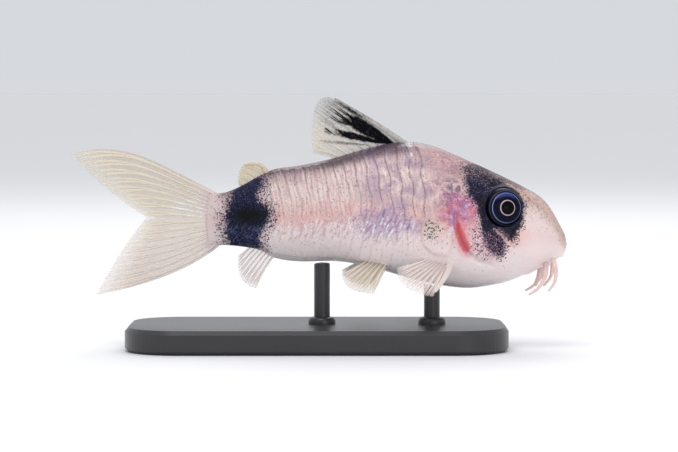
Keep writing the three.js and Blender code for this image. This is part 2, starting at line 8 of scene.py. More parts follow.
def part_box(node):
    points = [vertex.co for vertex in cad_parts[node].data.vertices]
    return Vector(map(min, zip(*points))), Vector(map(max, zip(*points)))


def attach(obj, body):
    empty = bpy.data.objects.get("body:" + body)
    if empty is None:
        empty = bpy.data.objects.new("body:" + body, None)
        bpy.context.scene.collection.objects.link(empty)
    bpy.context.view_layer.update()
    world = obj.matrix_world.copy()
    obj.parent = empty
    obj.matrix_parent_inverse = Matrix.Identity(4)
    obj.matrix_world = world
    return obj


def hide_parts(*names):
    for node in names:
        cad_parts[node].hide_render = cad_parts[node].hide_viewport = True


# A panda corydoras, 50 mm long, as a life-size model on its stand, seen from its right side.
# Sizes are in millimetres in the fish's own frame: X to the snout, Y to its left side, Z up.
# The whole scene is in metres, so MM turns one into the other.

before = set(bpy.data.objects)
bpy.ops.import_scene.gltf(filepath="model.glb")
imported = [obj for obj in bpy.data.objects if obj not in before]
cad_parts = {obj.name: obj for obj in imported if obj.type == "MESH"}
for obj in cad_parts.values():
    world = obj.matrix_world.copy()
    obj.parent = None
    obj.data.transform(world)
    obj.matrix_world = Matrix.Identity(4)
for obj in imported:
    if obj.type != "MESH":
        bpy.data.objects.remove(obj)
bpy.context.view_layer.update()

MM = 0.001
SNOUT_X = 25.0
TAIL_TIP_X = -25.0
SKIN_END_X = -11.2
LATERAL_LINE_Z = 13.0
TAIL_SWING = 2.2
TAIL_SWING_START_X = 4.0

# The camera looks at this point from this far and 3 degrees above the side view, a slope of nearly 0.052
VIEW_CENTRE = (2.2, 0, 12.2)
VIEW_DISTANCE = 300
VIEW_SLOPE = 0.052

# How far red, green and blue light spread in flesh, set against each other
FLESH_SCATTER = (1.0, 0.45, 0.35)

# The body's outline: x, top, bottom, half width, height where it is widest, narrowness of the back,
# squareness of the belly
STATIONS = np.array([
    (25.0, 10.6, 10.2, 0.3, 10.35, 2.0, 2.0),
    (24.8, 11.3, 9.7, 1.0, 10.3, 2.0, 2.0),
    (24.2, 12.45, 9.35, 1.6, 10.3, 2.0, 2.1),
    (23.6, 13.55, 8.95, 2.05, 10.3, 2.0, 2.2),
    (22.9, 14.55, 8.5, 2.45, 10.35, 1.95, 2.3),
    (22.0, 15.35, 7.95, 2.85, 10.4, 1.9, 2.4),
    (20.6, 16.15, 7.3, 3.35, 10.5, 1.9, 2.5),
    (18.8, 17.05, 6.6, 3.85, 10.6, 1.9, 2.6),
    (17.0, 17.9, 6.25, 4.25, 10.7, 1.85, 2.7),
    (15.3, 18.65, 6.05, 4.5, 10.8, 1.8, 2.8),
    (13.5, 19.45, 6.15, 4.65, 11.0, 1.75, 2.8),
    (11.7, 20.15, 6.45, 4.65, 11.2, 1.7, 2.7),
    (9.6, 20.6, 6.9, 4.4, 11.5, 1.65, 2.6),
    (7.2, 20.45, 7.6, 4.05, 11.8, 1.65, 2.5),
    (4.4, 19.8, 8.35, 3.55, 12.2, 1.7, 2.3),
    (1.5, 18.95, 8.7, 2.95, 12.6, 1.75, 2.2),
    (-1.8, 18.25, 8.65, 2.35, 12.9, 1.85, 2.1),
    (-4.2, 17.9, 9.0, 1.9, 13.0, 1.9, 2.1),
    (-5.6, 17.3, 9.75, 1.65, 13.0, 2.0, 2.1),
    (-7.4, 16.3, 10.1, 1.35, 13.0, 2.1, 2.1),
    (-9.0, 15.6, 10.25, 1.1, 13.0, 2.2, 2.2),
    (-9.8, 15.5, 10.25, 0.85, 13.0, 2.3, 2.3),
    (-10.6, 15.55, 10.25, 0.45, 13.0, 2.4, 2.4),
    (-11.0, 15.45, 10.35, 0.28, 13.0, 2.4, 2.4),
    (-11.2, 15.2, 10.6, 0.16, 13.0, 2.4, 2.4),
])
KEYS = ("x", "top", "bottom", "half", "wide", "crown", "keel")


# Curves and areas

def smooth_curve(xs, values, at):
    """Hermite curve through the values, on xs in falling order, read at any x."""
    slopes = np.gradient(values, xs)
    slopes[1:-1] = (values[2:] - values[:-2]) / (xs[2:] - xs[:-2])
    i = np.clip(np.searchsorted(-xs, -at) - 1, 0, len(xs) - 2)
    step = xs[i + 1] - xs[i]
    t = np.clip((at - xs[i]) / step, 0, 1)
    low, high = values[i], values[i + 1]
    return ((2 * t**3 - 3 * t**2 + 1) * low + (t**3 - 2 * t**2 + t) * slopes[i] * step
            + (3 * t**2 - 2 * t**3) * high + (t**3 - t**2) * slopes[i + 1] * step)


def outline(x, key):
    return smooth_curve(STATIONS[:, 0], STATIONS[:, KEYS.index(key)], x)


def ease(value, low, high):
    t = np.clip((value - low) / (high - low), 0, 1)
    return t * t * (3 - 2 * t)


def bell(value, width):
    return np.exp(-(value / width) ** 2)


def distance_to_line(x, z, points):
    """Distance to the nearest place on the line through the points."""
    pts = np.asarray(points, float)
    nearest = np.full(x.shape, 1e9)
    for (ax, az), (bx, bz) in zip(pts[:-1], pts[1:]):
        ex, ez = bx - ax, bz - az
        t = np.clip(((x - ax) * ex + (z - az) * ez) / (ex * ex + ez * ez), 0, 1)
        nearest = np.minimum(nearest, np.hypot(x - ax - t * ex, z - az - t * ez))
    return nearest


def depth_inside(x, z, corners):
    """How far a point lies inside a closed outline, negative outside it."""
    closed = [*corners, corners[0]]
    inside = np.zeros(x.shape, bool)
    for (ax, az), (bx, bz) in zip(closed[:-1], closed[1:]):
        if az != bz:
            inside ^= ((az > z) != (bz > z)) & (x < ax + (z - az) * (bx - ax) / (bz - az))
    nearest = distance_to_line(x, z, closed)
    return np.where(inside, nearest, -nearest)


def oval(x, z, centre, radii):
    """1 at an oval's centre, 0 at its edge, negative outside."""
    return 1 - np.hypot((x - centre[0]) / radii[0], (z - centre[1]) / radii[1])


def swing(points):
    """The tail swings a little to the left, and every part follows the same curve."""
    reach = TAIL_SWING_START_X - TAIL_TIP_X
    back = np.maximum(TAIL_SWING_START_X - points[:, 0], 0) / reach
    points[:, 1] += TAIL_SWING * back**2
    return points


# Making and finishing pieces

def select_only(*pieces):
    bpy.ops.object.select_all(action="DESELECT")
    for piece in pieces:
        piece.select_set(True)
    bpy.context.view_layer.objects.active = pieces[0]


@contextlib.contextmanager
def edit_mode(action="SELECT"):
    """Edit mode for what stands inside it, with everything or nothing selected at its start."""
    bpy.ops.object.mode_set(mode="EDIT")
    bpy.ops.mesh.select_all(action=action)
    yield
    bpy.ops.object.mode_set(mode="OBJECT")


def named(name):
    piece = bpy.context.object
    piece.name = name
    piece.data.name = name
    select_only(piece)
    return piece


def vertices(piece):
    flat = np.empty(len(piece.data.vertices) * 3)
    piece.data.vertices.foreach_get("co", flat)
    return flat.reshape(-1, 3)


def place_vertices(piece, points_mm):
    piece.data.vertices.foreach_set("co", (points_mm * MM).ravel())
    piece.data.update()


def keep_attribute(piece, name, values):
    layer = piece.data.attributes.new(name, "FLOAT", "POINT")
    layer.data.foreach_set("value", np.asarray(values, np.float32))


def face_outwards(piece):
    select_only(piece)
    with edit_mode():
        bpy.ops.mesh.normals_make_consistent(inside=False)


def smooth(piece, degrees=60):
    select_only(piece)
    bpy.ops.object.shade_smooth_by_angle(angle=math.radians(degrees))


def apply_all(piece):
    select_only(piece)
    for modifier in list(piece.modifiers):
        bpy.ops.object.modifier_apply(modifier=modifier.name)


def hand_over(piece, slot, finish, *nodes):
    """The piece rides on the part's one body, takes its finish, and stands for CAD nodes."""
    piece.data.materials.clear()
    piece.data.materials.append(finish)
    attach(piece, "root")
    if nodes:
        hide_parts(*nodes)


# The body's skin

NOSE_ROUNDING = 0.2
END_ROUNDING = 0.3


def skin_points(x, angle, side):
    """Points of the smooth skin: angle 0 is the back, half a turn the belly."""
    wide = outline(x, "wide")
    above = np.cos(angle) >= 0
    keel = 2 / outline(x, "keel")
    power = np.where(above, 2 / outline(x, "crown"), keel)
    cosine = np.abs(np.cos(angle))
    up = (outline(x, "top") - wide) * cosine
    down = (wide - outline(x, "bottom")) * cosine**keel
    half = outline(x, "half") * np.abs(np.sin(angle)) ** power
    nose = np.sqrt(np.clip((SNOUT_X - x) / NOSE_ROUNDING, 0, 1))
    end = np.sqrt(np.clip((x - SKIN_END_X) / END_ROUNDING, 0, 1))
    close = nose * end
    return np.stack([x, side * half * close, wide + np.where(above, up, -down) * close], axis=1)


def as_seen(points):
    """Where a point of the flank stands in the side view, on the plane through the fish's middle."""
    near = VIEW_DISTANCE / (VIEW_DISTANCE - np.abs(points[:, 1]))
    x = VIEW_CENTRE[0] + (points[:, 0] - VIEW_CENTRE[0]) * near
    z = VIEW_CENTRE[2] + (points[:, 2] - VIEW_CENTRE[2]) * near
    return x, z - VIEW_SLOPE * np.abs(points[:, 1])


def skin_normals(x, angle, side):
    step = 0.03
    near = np.clip(x, SKIN_END_X + 2 * step, SNOUT_X - 2 * step)
    turn = np.clip(angle, 2 * step, math.pi - 2 * step)
    along = skin_points(near + step, turn, side) - skin_points(near - step, turn, side)
    around = skin_points(near, turn + step, side) - skin_points(near, turn - step, side)
    normal = np.cross(along, around) * side[:, None]
    normal /= np.linalg.norm(normal, axis=1)[:, None]
    crest = np.minimum(ease(angle, 0, 0.1), ease(math.pi - angle, 0, 0.1))
    normal[:, 1] *= crest
    return normal / np.linalg.norm(normal, axis=1)[:, None]


def half_width_at(x, z):
    """The body's half width at a height above its widest point."""
    x = np.atleast_1d(float(x))
    share = (z - outline(x, "wide")) / (outline(x, "top") - outline(x, "wide"))
    return float((outline(x, "half") * (1 - share**2) ** (1 / outline(x, "crown")))[0])


# Eyes, nostrils and mouth
EYE = dict(x=18.52, z=14.1, radius=2.0, depth=1.25, proud=0.55, forward=0.3, up=0.08)
SOCKET_DEPTH = 0.8
NOSTRILS = ((21.2, 14.9, 0.26), (22.0, 14.2, 0.2))
MOUTH = dict(x=23.55, half_length=0.8, half_width=1.35)

# Rings of relief round an eye: height, distance from its centre, width
ORBIT_RINGS = ((0.16, 2.02, 0.2), (-0.10, 2.45, 0.25))
IRIS_RINGS = ((0.02, 0.73, 0.04), (-0.05, 0.86, 0.09), (-0.04, 1.52, 0.05))
LENS = dict(rise=0.10, radius=0.68)

# Outlines seen from the side: the gill cover, the shoulder plate behind it, the red gill between them
GILL_COVER = [
    (14.0, 13.4), (14.6, 14.1), (15.6, 14.2), (16.6, 13.3), (17.4, 11.9), (17.9, 10.3), (17.7, 9.2),
    (16.9, 8.7), (15.9, 8.9), (15.2, 9.6), (14.5, 10.8), (14.05, 12.1)]
GILL_SLIT = [
    (14.1, 14.2), (13.85, 13.2), (13.85, 12.3), (14.1, 11.3), (14.6, 10.1), (15.3, 9.2), (16.3, 8.5),
    (17.6, 8.2)]
RED_GILL = [
    (14.05, 12.7), (13.85, 11.8), (14.15, 10.6), (14.6, 9.65), (15.1, 9.45), (15.35, 10.1), (14.85, 11.3),
    (14.35, 12.4)]
SHOULDER = [
    (13.6, 15.9), (12.4, 15.6), (11.3, 14.6), (10.6, 13.2), (10.3, 11.6), (10.6, 10.2), (11.6, 9.3),
    (13.2, 9.1), (13.7, 10.6), (13.3, 12.2), (13.4, 14.0)]
EYE_BAND = [
    (14.6, 18.2), (16.4, 18.6), (17.3, 17.6), (18.4, 16.9), (19.3, 16.1), (20.3, 15.3), (20.7, 14.2),
    (20.6, 12.95), (20.4, 12.1), (19.9, 11.2), (19.5, 10.6), (18.9, 11.0), (18.1, 11.9), (18.8, 10.9),
    (18.95, 10.0), (18.6, 9.2), (18.0, 9.0), (17.2, 9.7), (16.6, 10.7), (16.3, 11.9), (16.25, 13.1),
    (16.0, 14.4), (15.2, 15.2), (14.9, 16.4)]
BAND_ROUND_EYE = 1.97
BAND_PARTING = [(17.7, 11.9), (18.5, 11.2), (19.7, 10.1)]
CHEEK_DOTS = [
    (15.4, 12.0), (16.2, 12.9), (17.2, 11.8), (18.3, 10.2), (18.5, 9.0), (17.2, 8.8), (16.2, 9.2),
    (15.5, 10.3)]
TAIL_BLOTCH = [
    (-6.3, 17.4), (-5.2, 17.1), (-5.35, 16.0), (-5.9, 15.3), (-5.5, 14.8), (-4.9, 14.3), (-4.4, 13.5),
    (-4.75, 12.6), (-5.4, 11.6), (-5.7, 10.9), (-5.4, 9.7), (-8.6, 9.7), (-9.1, 10.7), (-9.4, 11.6),
    (-9.35, 12.5), (-9.35, 13.2), (-9.0, 14.3), (-8.6, 15.2), (-8.3, 16.5)]

# Markings, painted highlights and a painted sheen that the skin's finish reads by name: closed outlines, and
# ovals with a centre and two radii
OUTLINED = dict(cheek_dots=CHEEK_DOTS, blotch=TAIL_BLOTCH, gill=RED_GILL)
OVALS = dict(
    core=((-6.9, 13.2), (2.2, 1.3)), flush=((14.4, 13.5), (2.8, 2.1)), shoulder=((11.5, 11.9), (1.25, 1.3)),
    # the oval beside the red gill marks a painted highlight, and the lilac oval a painted sheen
    gill_glint=((13.45, 11.6), (0.42, 1.0)), lilac=((7.0, 12.55), (5.8, 2.5)))
# Painted highlights on the nape's plates: ovals with a centre and two radii
NAPE_PAINTED_GLINTS = (((8.9, 20.3), (0.9, 0.9)), ((9.4, 19.3), (0.4, 0.6)))

# The two rows of bony plates on each flank
UPPER_PLATES = dict(start=11.9, end=-10.3, count=23, slant=(0.1, 0.3))
LOWER_PLATES = dict(start=10.4, end=-10.3, count=21, slant=(0.16, 0.5))
PLATE_LIFT = 0.17
PLATE_CROWDING = 0.11
PLATE_RIM = 0.93
GROWTH_LINE = 0.44
UPPER_ROW_TOP = 0.26
LOWER_ROW_BOTTOM = 2.66
LOWER_ROW_NUMBER = 40

# Waves of the plates' edges in mm: height, turns by height and by length, start
EDGE_WAVES = ((0.02, 5.1, -1.3, 1), (0.012, 9.7, 2.2, 0))


def plate_phase(x, height, row):
    """Counts along a row of plates, from 0 at its front: whole numbers are the plates' rear edges."""
    length = row["start"] - row["end"]
    share = np.clip((row["start"] - x) / length, -0.05, 1.05)
    slant = row["slant"][0] + (row["slant"][1] - row["slant"][0]) * share
    share = np.clip((row["start"] - (x + slant * height)) / length, -0.05, 1.05)
    wide = 1 + PLATE_CROWDING
    root = np.sqrt(np.maximum(wide**2 - 4 * PLATE_CROWDING * share, 0))
    return row["count"] * (wide - root) / (2 * PLATE_CROWDING)


def lateral_line(x):
    """The angle of the line between the two rows, a zigzag from plate to plate."""
    top, wide = outline(x, "top"), outline(x, "wide")
    line = np.arccos(np.clip((LATERAL_LINE_Z - wide) / (top - wide), 0, 1))
    phase = plate_phase(x, 0 * x, UPPER_PLATES)
    return line + 0.055 * (np.abs(2 * (phase - np.floor(phase)) - 1) - 0.5)


def plates(x, angle, z):
    """Relief of the plates in mm, how near a point is to a plate's rear edge, and the plate's number."""
    line = lateral_line(x)
    upper = angle < line
    height = np.abs(z - LATERAL_LINE_Z)
    wobble = (0.05 + 0.07 * ease(x, 3, 8)) * np.sin(2.1 * z + 0.9 * x)
    for swell, by_height, by_length, start in EDGE_WAVES:
        wobble = wobble + swell * np.sin(by_height * z + by_length * x + start)
    taper = 0.65 + 0.35 * ease(x, -10, 4)
    faint = 0.75 * (1 - 0.75 * ease(x, 1, 7))
    relief, rim, number = np.zeros_like(x), np.zeros_like(x), np.zeros_like(x)
    for row, chosen, low, high, first in (
            (UPPER_PLATES, upper, UPPER_ROW_TOP + 0 * line, line - 0.03, 0),
            (LOWER_PLATES, ~upper, line + 0.03, LOWER_ROW_BOTTOM + 0 * line, LOWER_ROW_NUMBER)):
        across = np.clip((angle - low) / (high - low), 0, 1)
        corner = (2 * across - 1) ** 4
        phase = plate_phase(x + 0.22 * corner + wobble, height, row)
        part = phase - np.floor(phase)
        margin = ease(np.minimum(angle - low, high - angle), -0.01, 0.07)
        ends = ease(phase, 0.0, 0.15) * ease(row["count"] - phase, 0.0, 0.15) * ease(x, -10.1, -9.1)
        rise = (0.25 + 0.75 * part**1.5) * (1 - ease(part, 0.9, 1.0)) * ease(part, 0.0, 0.1)
        edge = np.maximum(bell(part - PLATE_RIM, 0.085), faint * bell(part - GROWTH_LINE, 0.075))
        relief = np.where(chosen, PLATE_LIFT * taper * rise * margin * ends, relief)
        rim = np.where(chosen, edge * margin * ends, rim)
        number = np.where(chosen, phase + first, number)
    return relief, rim, number


def head_relief(x, y, z, angle, seen_x, seen_z):
    """Eye socket and its rim, gill cover, slit, shoulder plate, nostrils, mouth and lips, in mm."""
    flank = ease(np.abs(y), 0.3, 1.2)
    eye = np.hypot(x - EYE["x"], z - EYE["z"])
    relief = -SOCKET_DEPTH * (1 - ease(eye, 1.62, 1.86)) * flank
    for rise, radius, width in ORBIT_RINGS:
        relief += rise * bell(eye - radius, width) * flank
    lower = angle > 0.5
    cover = 0.2 * ease(depth_inside(seen_x, seen_z, GILL_COVER), -0.05, 0.22)
    cover *= (1 - 0.6 * ease(x, 14.5, 17.5)) * (1 - ease(z, 12.2, 13.8))
    slit = 0.3 * bell(distance_to_line(seen_x, seen_z, GILL_SLIT), 0.2) * (0.4 + 0.6 * ease(z, 8.6, 9.6))
    shoulder = 0.2 * ease(depth_inside(seen_x, seen_z, SHOULDER), -0.06, 0.25)
    relief += np.where(lower, cover - slit + shoulder, 0)
    for nostril_x, nostril_z, radius in NOSTRILS:
        away = np.hypot(x - nostril_x, z - nostril_z)
        relief += flank * (0.12 * bell(away - radius - 0.08, 0.11) - 0.3 * (1 - ease(away, 0, radius)))
    under = ease(z, 10.6, 10.1)
    ring = np.hypot((x - MOUTH["x"]) / MOUTH["half_length"], y / MOUTH["half_width"])
    relief += under * (0.36 * bell((ring - 1) * 0.9, 0.3) - 0.42 * (1 - ease(ring, 0.35, 0.85)))
    relief += 0.12 * under * bell(np.hypot(x - 21.9, y * 0.7) - 0.9, 0.35)
    return relief


# How the rings of the sphere that becomes the skin are shared out: share of the way back, place in mm
RING_SHARES = (0, 0.02, 0.07, 0.4, 0.97, 1)
RING_PLACES = (24.999, 24.9, 24.1, 11.5, -10.8, -11.2)


def make_skin():
    bpy.ops.mesh.primitive_uv_sphere_add(segments=216, ring_count=400, radius=1)
    skin = named("skin")
    unit = vertices(skin)
    share = np.arccos(np.clip(unit[:, 2], -1, 1)) / math.pi
    turn = np.arctan2(unit[:, 1], unit[:, 0])
    side = np.where(turn >= 0, 1.0, -1.0)
    angle = np.abs(turn)
    x = np.interp(share, RING_SHARES, RING_PLACES)
    base = skin_points(x, angle, side)
    y, z = base[:, 1], base[:, 2]
    relief, rim, number = plates(x, angle, z)
    seen_x, seen_z = as_seen(base)
    lifted = relief + head_relief(x, y, z, angle, seen_x, seen_z)
    place_vertices(skin, swing(base + skin_normals(x, angle, side) * lifted[:, None]))
    top, bottom = outline(x, "top"), outline(x, "bottom")
    around_eye = BAND_ROUND_EYE - np.hypot(x - EYE["x"], z - EYE["z"])
    marks = dict(
        rim=rim, plate=number, below_back=top - z, height=(z - bottom) / (top - bottom),
        band=np.maximum(depth_inside(seen_x, seen_z, EYE_BAND), around_eye),
        parting=distance_to_line(seen_x, seen_z, BAND_PARTING),
        # where highlights are painted on the nape's plates
        nape_glint=np.maximum(*(oval(seen_x, seen_z, *glint) for glint in NAPE_PAINTED_GLINTS)))
    for name, corners in OUTLINED.items():
        marks[name] = depth_inside(seen_x, seen_z, corners)
    for name, (centre, radii) in OVALS.items():
        marks[name] = oval(seen_x, seen_z, centre, radii)
    for name, values in marks.items():
        keep_attribute(skin, name, values)
    face_outwards(skin)
    smooth(skin, 80)
    return skin


# Node helpers

def colour(hexadecimal):
    """A colour as it looks on screen, in the linear values that shaders take."""
    parts = [int(hexadecimal[i:i + 2], 16) / 255 for i in (0, 2, 4)]
    return [c / 12.92 if c < 0.04045 else ((c + 0.055) / 1.055) ** 2.4 for c in parts] + [1]


class Nodes:
    """Short names for adding nodes to one tree. A text stands for a value kept by name, or a colour."""

    def __init__(self, tree):
        self.tree = tree
        self.kept = {}

    def set(self, socket, value):
        if isinstance(value, str):
            value = self.kept[value] if value in self.kept else colour(value)
        if isinstance(value, bpy.types.NodeSocket):
            self.tree.links.new(value, socket)
        else:
            socket.default_value = value

    def put(self, kind, values=(), **settings):
        node = self.tree.nodes.new(kind)
        for key, value in settings.items():
            setattr(node, key, value)
        for socket, value in values:
            self.set(node.inputs[socket], value)
        return node

    def feed(self, node, **sockets):
        for name, value in sockets.items():
            self.set(node.inputs[name.replace("_", " ")], value)

    def chain(self, operation, values):
        total = values[0]
        for value in values[1:]:
            total = self.put("ShaderNodeMath", ((0, total), (1, value)), operation=operation).outputs[0]
        return total

    def add(self, *values):
        return self.chain("ADD", values)

    def times(self, *values):
        return self.chain("MULTIPLY", values)

    def most(self, *values):
        return self.chain("MAXIMUM", values)

    def less(self, a, b):
        return self.chain("SUBTRACT", (a, b))

    def shaken(self, value, *noises):
        """A value moved up and down by noises, each given with how far it moves it."""
        for noise, much in noises:
            value = self.add(value, self.times(self.less(noise, 0.5), much))
        return value

    def step(self, value, low, high):
        return self.put("ShaderNodeMapRange", (("Value", value), ("From Min", low), ("From Max", high)),
                        interpolation_type="SMOOTHSTEP").outputs[0]

    def mix(self, factor, under, over):
        return self.put("ShaderNodeMix", ((0, factor), (6, under), (7, over)), data_type="RGBA").outputs[2]

    def read(self, name):
        return self.put("ShaderNodeAttribute", attribute_name=name).outputs["Fac"]

    def split(self, vector):
        return self.put("ShaderNodeSeparateXYZ", ((0, vector),)).outputs

    def mapped(self, vector, kind="POINT", **settings):
        values = [("Vector", vector)] + [(key.title(), value) for key, value in settings.items()]
        return self.put("ShaderNodeMapping", values, vector_type=kind).outputs[0]

    def millimetres(self):
        return self.mapped(self.put("ShaderNodeTexCoord").outputs["Object"], scale=(1000, 1000, 1000))

    def noise(self, vector, scale, detail=3.0, roughness=0.55):
        return self.put("ShaderNodeTexNoise", (("Vector", vector), ("Scale", scale), ("Detail", detail),
                                               ("Roughness", roughness))).outputs[0]

    def cells(self, vector, scale):
        return self.put("ShaderNodeTexVoronoi", (("Vector", vector), ("Scale", scale))).outputs

    def bump(self, height, strength, distance):
        return self.put("ShaderNodeBump", (("Height", height), ("Strength", strength),
                                           ("Distance", distance))).outputs[0]

    def ramp(self, value, stops):
        node = self.put("ShaderNodeValToRGB", ((0, value),))
        spots = node.color_ramp.elements
        spots.remove(spots[1])
        for number, (place, shade) in enumerate(stops):
            spot = spots.new(place) if number else spots[0]
            spot.position = place
            spot.color = colour(shade)
        return node.outputs[0]

    def group(self, tree, **values):
        node = self.put("ShaderNodeGroup", (), node_tree=tree)
        self.feed(node, **values)
        return node.outputs[0]


def new_finish(name, kind=Nodes, **uniform):
    """A material with one Principled shader, its even values set on the shader's own sockets."""
    finish = bpy.data.materials.new(name)
    finish.use_nodes = True
    shader = finish.node_tree.nodes["Principled BSDF"]
    pen = kind(finish.node_tree)
    pen.feed(shader, **uniform)
    return finish, pen, shader


def new_group(name, result, **inputs):
    """A node group with numbers as inputs, apart from the place, and one number as its result."""
    tree = bpy.data.node_groups.new(name, "ShaderNodeTree")
    tree.interface.new_socket("Vector", in_out="INPUT", socket_type="NodeSocketVector")
    for label, value in inputs.items():
        tree.interface.new_socket(label, in_out="INPUT", socket_type="NodeSocketFloat").default_value = value
    tree.interface.new_socket(result, in_out="OUTPUT", socket_type="NodeSocketFloat")
    entry = tree.nodes.new("NodeGroupInput").outputs
    leave = tree.nodes.new("NodeGroupOutput")
    return tree, Nodes(tree), entry, leave


def pigment_dots_group():
    """Round dark pigment cells of uneven size: the more Amount, the more of them show."""
    tree, pen, entry, leave = new_group("pigment_dots", "Mask", Scale=3.0, Amount=0.5, Size=0.32)
    cell = pen.cells(entry["Vector"], entry["Scale"])
    draw = pen.put("ShaderNodeSeparateColor", ((0, cell["Color"]),)).outputs
    size = pen.times(entry["Size"], pen.add(pen.times(draw[1], 0.7), 0.55))
    near = pen.step(cell["Distance"], size, pen.times(size, 0.6))
    shown = pen.step(pen.less(entry["Amount"], draw[0]), 0.0, 0.05)
    pen.feed(leave, Mask=pen.times(near, shown))
    return tree


def skin_grain_group():
    """Fine pores and soft unevenness of a moist skin, as a height."""
    tree, pen, entry, leave = new_group("skin_grain", "Height", Pores=7.0, Swell=1.3)
    pores = pen.cells(entry["Vector"], entry["Pores"])["Distance"]
    swell = pen.noise(entry["Vector"], entry["Swell"], 4)
    pen.feed(leave, Height=pen.add(pen.times(pores, 0.35), swell))
    return tree


DOTS = pigment_dots_group()
GRAIN = skin_grain_group()


# The skin's noises: name, scale, detail, roughness. The second set starts from another place.
SKIN_NOISES = (
    ("soft", 0.8, 4, 0.55), ("fine", 4.2, 3, 0.55), ("grit", 9.0, 2, 0.55), ("freckle", 1.7, 3, 0.55),
    ("vein", 2.1, 3, 0.65))
MOVED_NOISES = (
    ("cloud", 1.1, 4, 0.62), ("smoke", 1.3, 4, 0.65), ("bloom", 1.5, 3, 0.6), ("salt", 8.0, 2, 0.55))
NOISE_MOVE = (3.1, 0, 1.7)
PLATE_STREAKS = 4.6

# Streaks that lean in the side view: turn, length, width
SLANTED = (-1.13, 0.9, 0.27)
COMBED = (-0.8, 1.1, 0.2)

# Values that the vertices carry
SKIN_VALUES = ("height", "rim", "plate", "below_back", "band", "parting", "nape_glint", *OUTLINED, *OVALS)

# Masks: name, and the parts that all have to hold. A part is another mask, or a value with where it starts
# and where it is full, and then the noises that make its edge ragged, each with how far it moves the value.
MASKS = (
    ("plated", ("x", 13.2, 11.4), ("x", -10.8, -9.8)),
    ("lilac_sheen", ("lilac", 0.05, 0.85, "fine", 0.6, "soft", 1.1)),
    ("hatched", "plated", ("x", 11.0, 6.0), ("height", 0.16, 0.3), ("height", 0.46, 0.4)),
    ("brow", ("x", 8.8, 11.5), ("below_back", 2.6, 0.4, "soft", 2.2)),
    ("spotted", ("x", 20.0, 20.8, "soft", 1.0), ("z", 12.4, 13.6, "soft", 2.0)),
    ("nape", ("x", 10.5, 12), ("x", 17.2, 15.5), ("z", 13.2, 14.6)),
    ("dusky", ("x", 11.6, 13.0), ("x", 16.6, 15.4), ("z", 12.4, 13.4), ("z", 17.6, 16.4)),
    ("flushed", ("flush", -0.1, 0.6, "fine", 1.1, "soft", 1.6)),
    ("shoulder_plate", ("shoulder", 0.0, 0.6, "fine", 0.9, "soft", 0.9)),
    ("back", ("height", 0.3, 0.85)),
    ("line_place", "rim", ("fine", 0.26, 0.58), ("height", 0.12, 0.5)),
    ("crest", ("below_back", 1.6, 0.15, "soft", 1.2), ("x", 10.5, 8.5), ("x", -9.6, -8.0)),
    ("under_sail", ("x", 9.4, 8.4), ("x", -1.5, 2.5), ("below_back", 1.5, 0.3, "fine", 1.2, "soft", 1.0)),
    ("flank", ("height", 0.12, 0.4), ("x", 20.5, 17.5)),
    ("cheek", ("cheek_dots", -0.5, 0.4, "fine", 0.8)),
    ("near_band", ("band", -0.8, 0.3, "soft", 0.8)),
    ("band_low", ("z", 12.4, 11.2), ("x", 19.3, 18.6)),
    ("band_faded", ("z", 16.2, 18.2, "soft", 3.0), ("fine", 0.4, 0.58)),
    ("eye_band", ("band", -0.2, 0.25, "fine", 0.9, "grit", 0.6, "soft", 0.5)),
    ("tail_blotch", ("blotch", -0.05, 0.4, "fine", 1.3, "streak", 1.1, "grit", 0.7)),
    ("blotch_core", ("core", -0.35, 0.8, "soft", 0.9, "fine", 0.9)),
)

# Paints from the palest to the darkest: colour, strength, and the parts that have to hold, as in the masks
GROUND = ((0.0, "F0E6E6"), (0.2, "EDDEDD"), (0.34, "E7D2D1"), (0.4, "E4C2BE"), (0.47, "E2B7B1"),
          (0.54, "E3BFB9"), (0.62, "E6CEC7"), (0.78, "DCC4C0"), (0.9, "BDA29F"), (1.0, "6A5052"))
PLATE_PAINTS = (
    ("F3E6E0", 0.4, ("streak", 0.5, 0.6), "plated"),
    ("AE8796", 0.42, ("streak", 0.48, 0.36), "plated", ("height", 0.25, 0.6)),
    ("A386A2", 0.6, ("x", 2.0, 6.5), ("x", 12.6, 11.0), ("height", 0.42, 0.62), ("soft", 0.34, 0.58)),
    # The lilac sheen is painted sheen, and its pale slanted streaks are painted glints
    ("A996BC", 0.65, "lilac_sheen"),
    ("6A6096", 0.6, "lilac_sheen", ("slanted", 0.52, 0.64)),
    ("F2ECF6", 0.7, "lilac_sheen", ("slanted", 0.44, 0.34)),
    ("F6ECEA", 0.65, "hatched", ("slanted", 0.46, 0.36)),
    ("BC8C9E", 0.5, "hatched", ("slanted", 0.52, 0.62)),
)
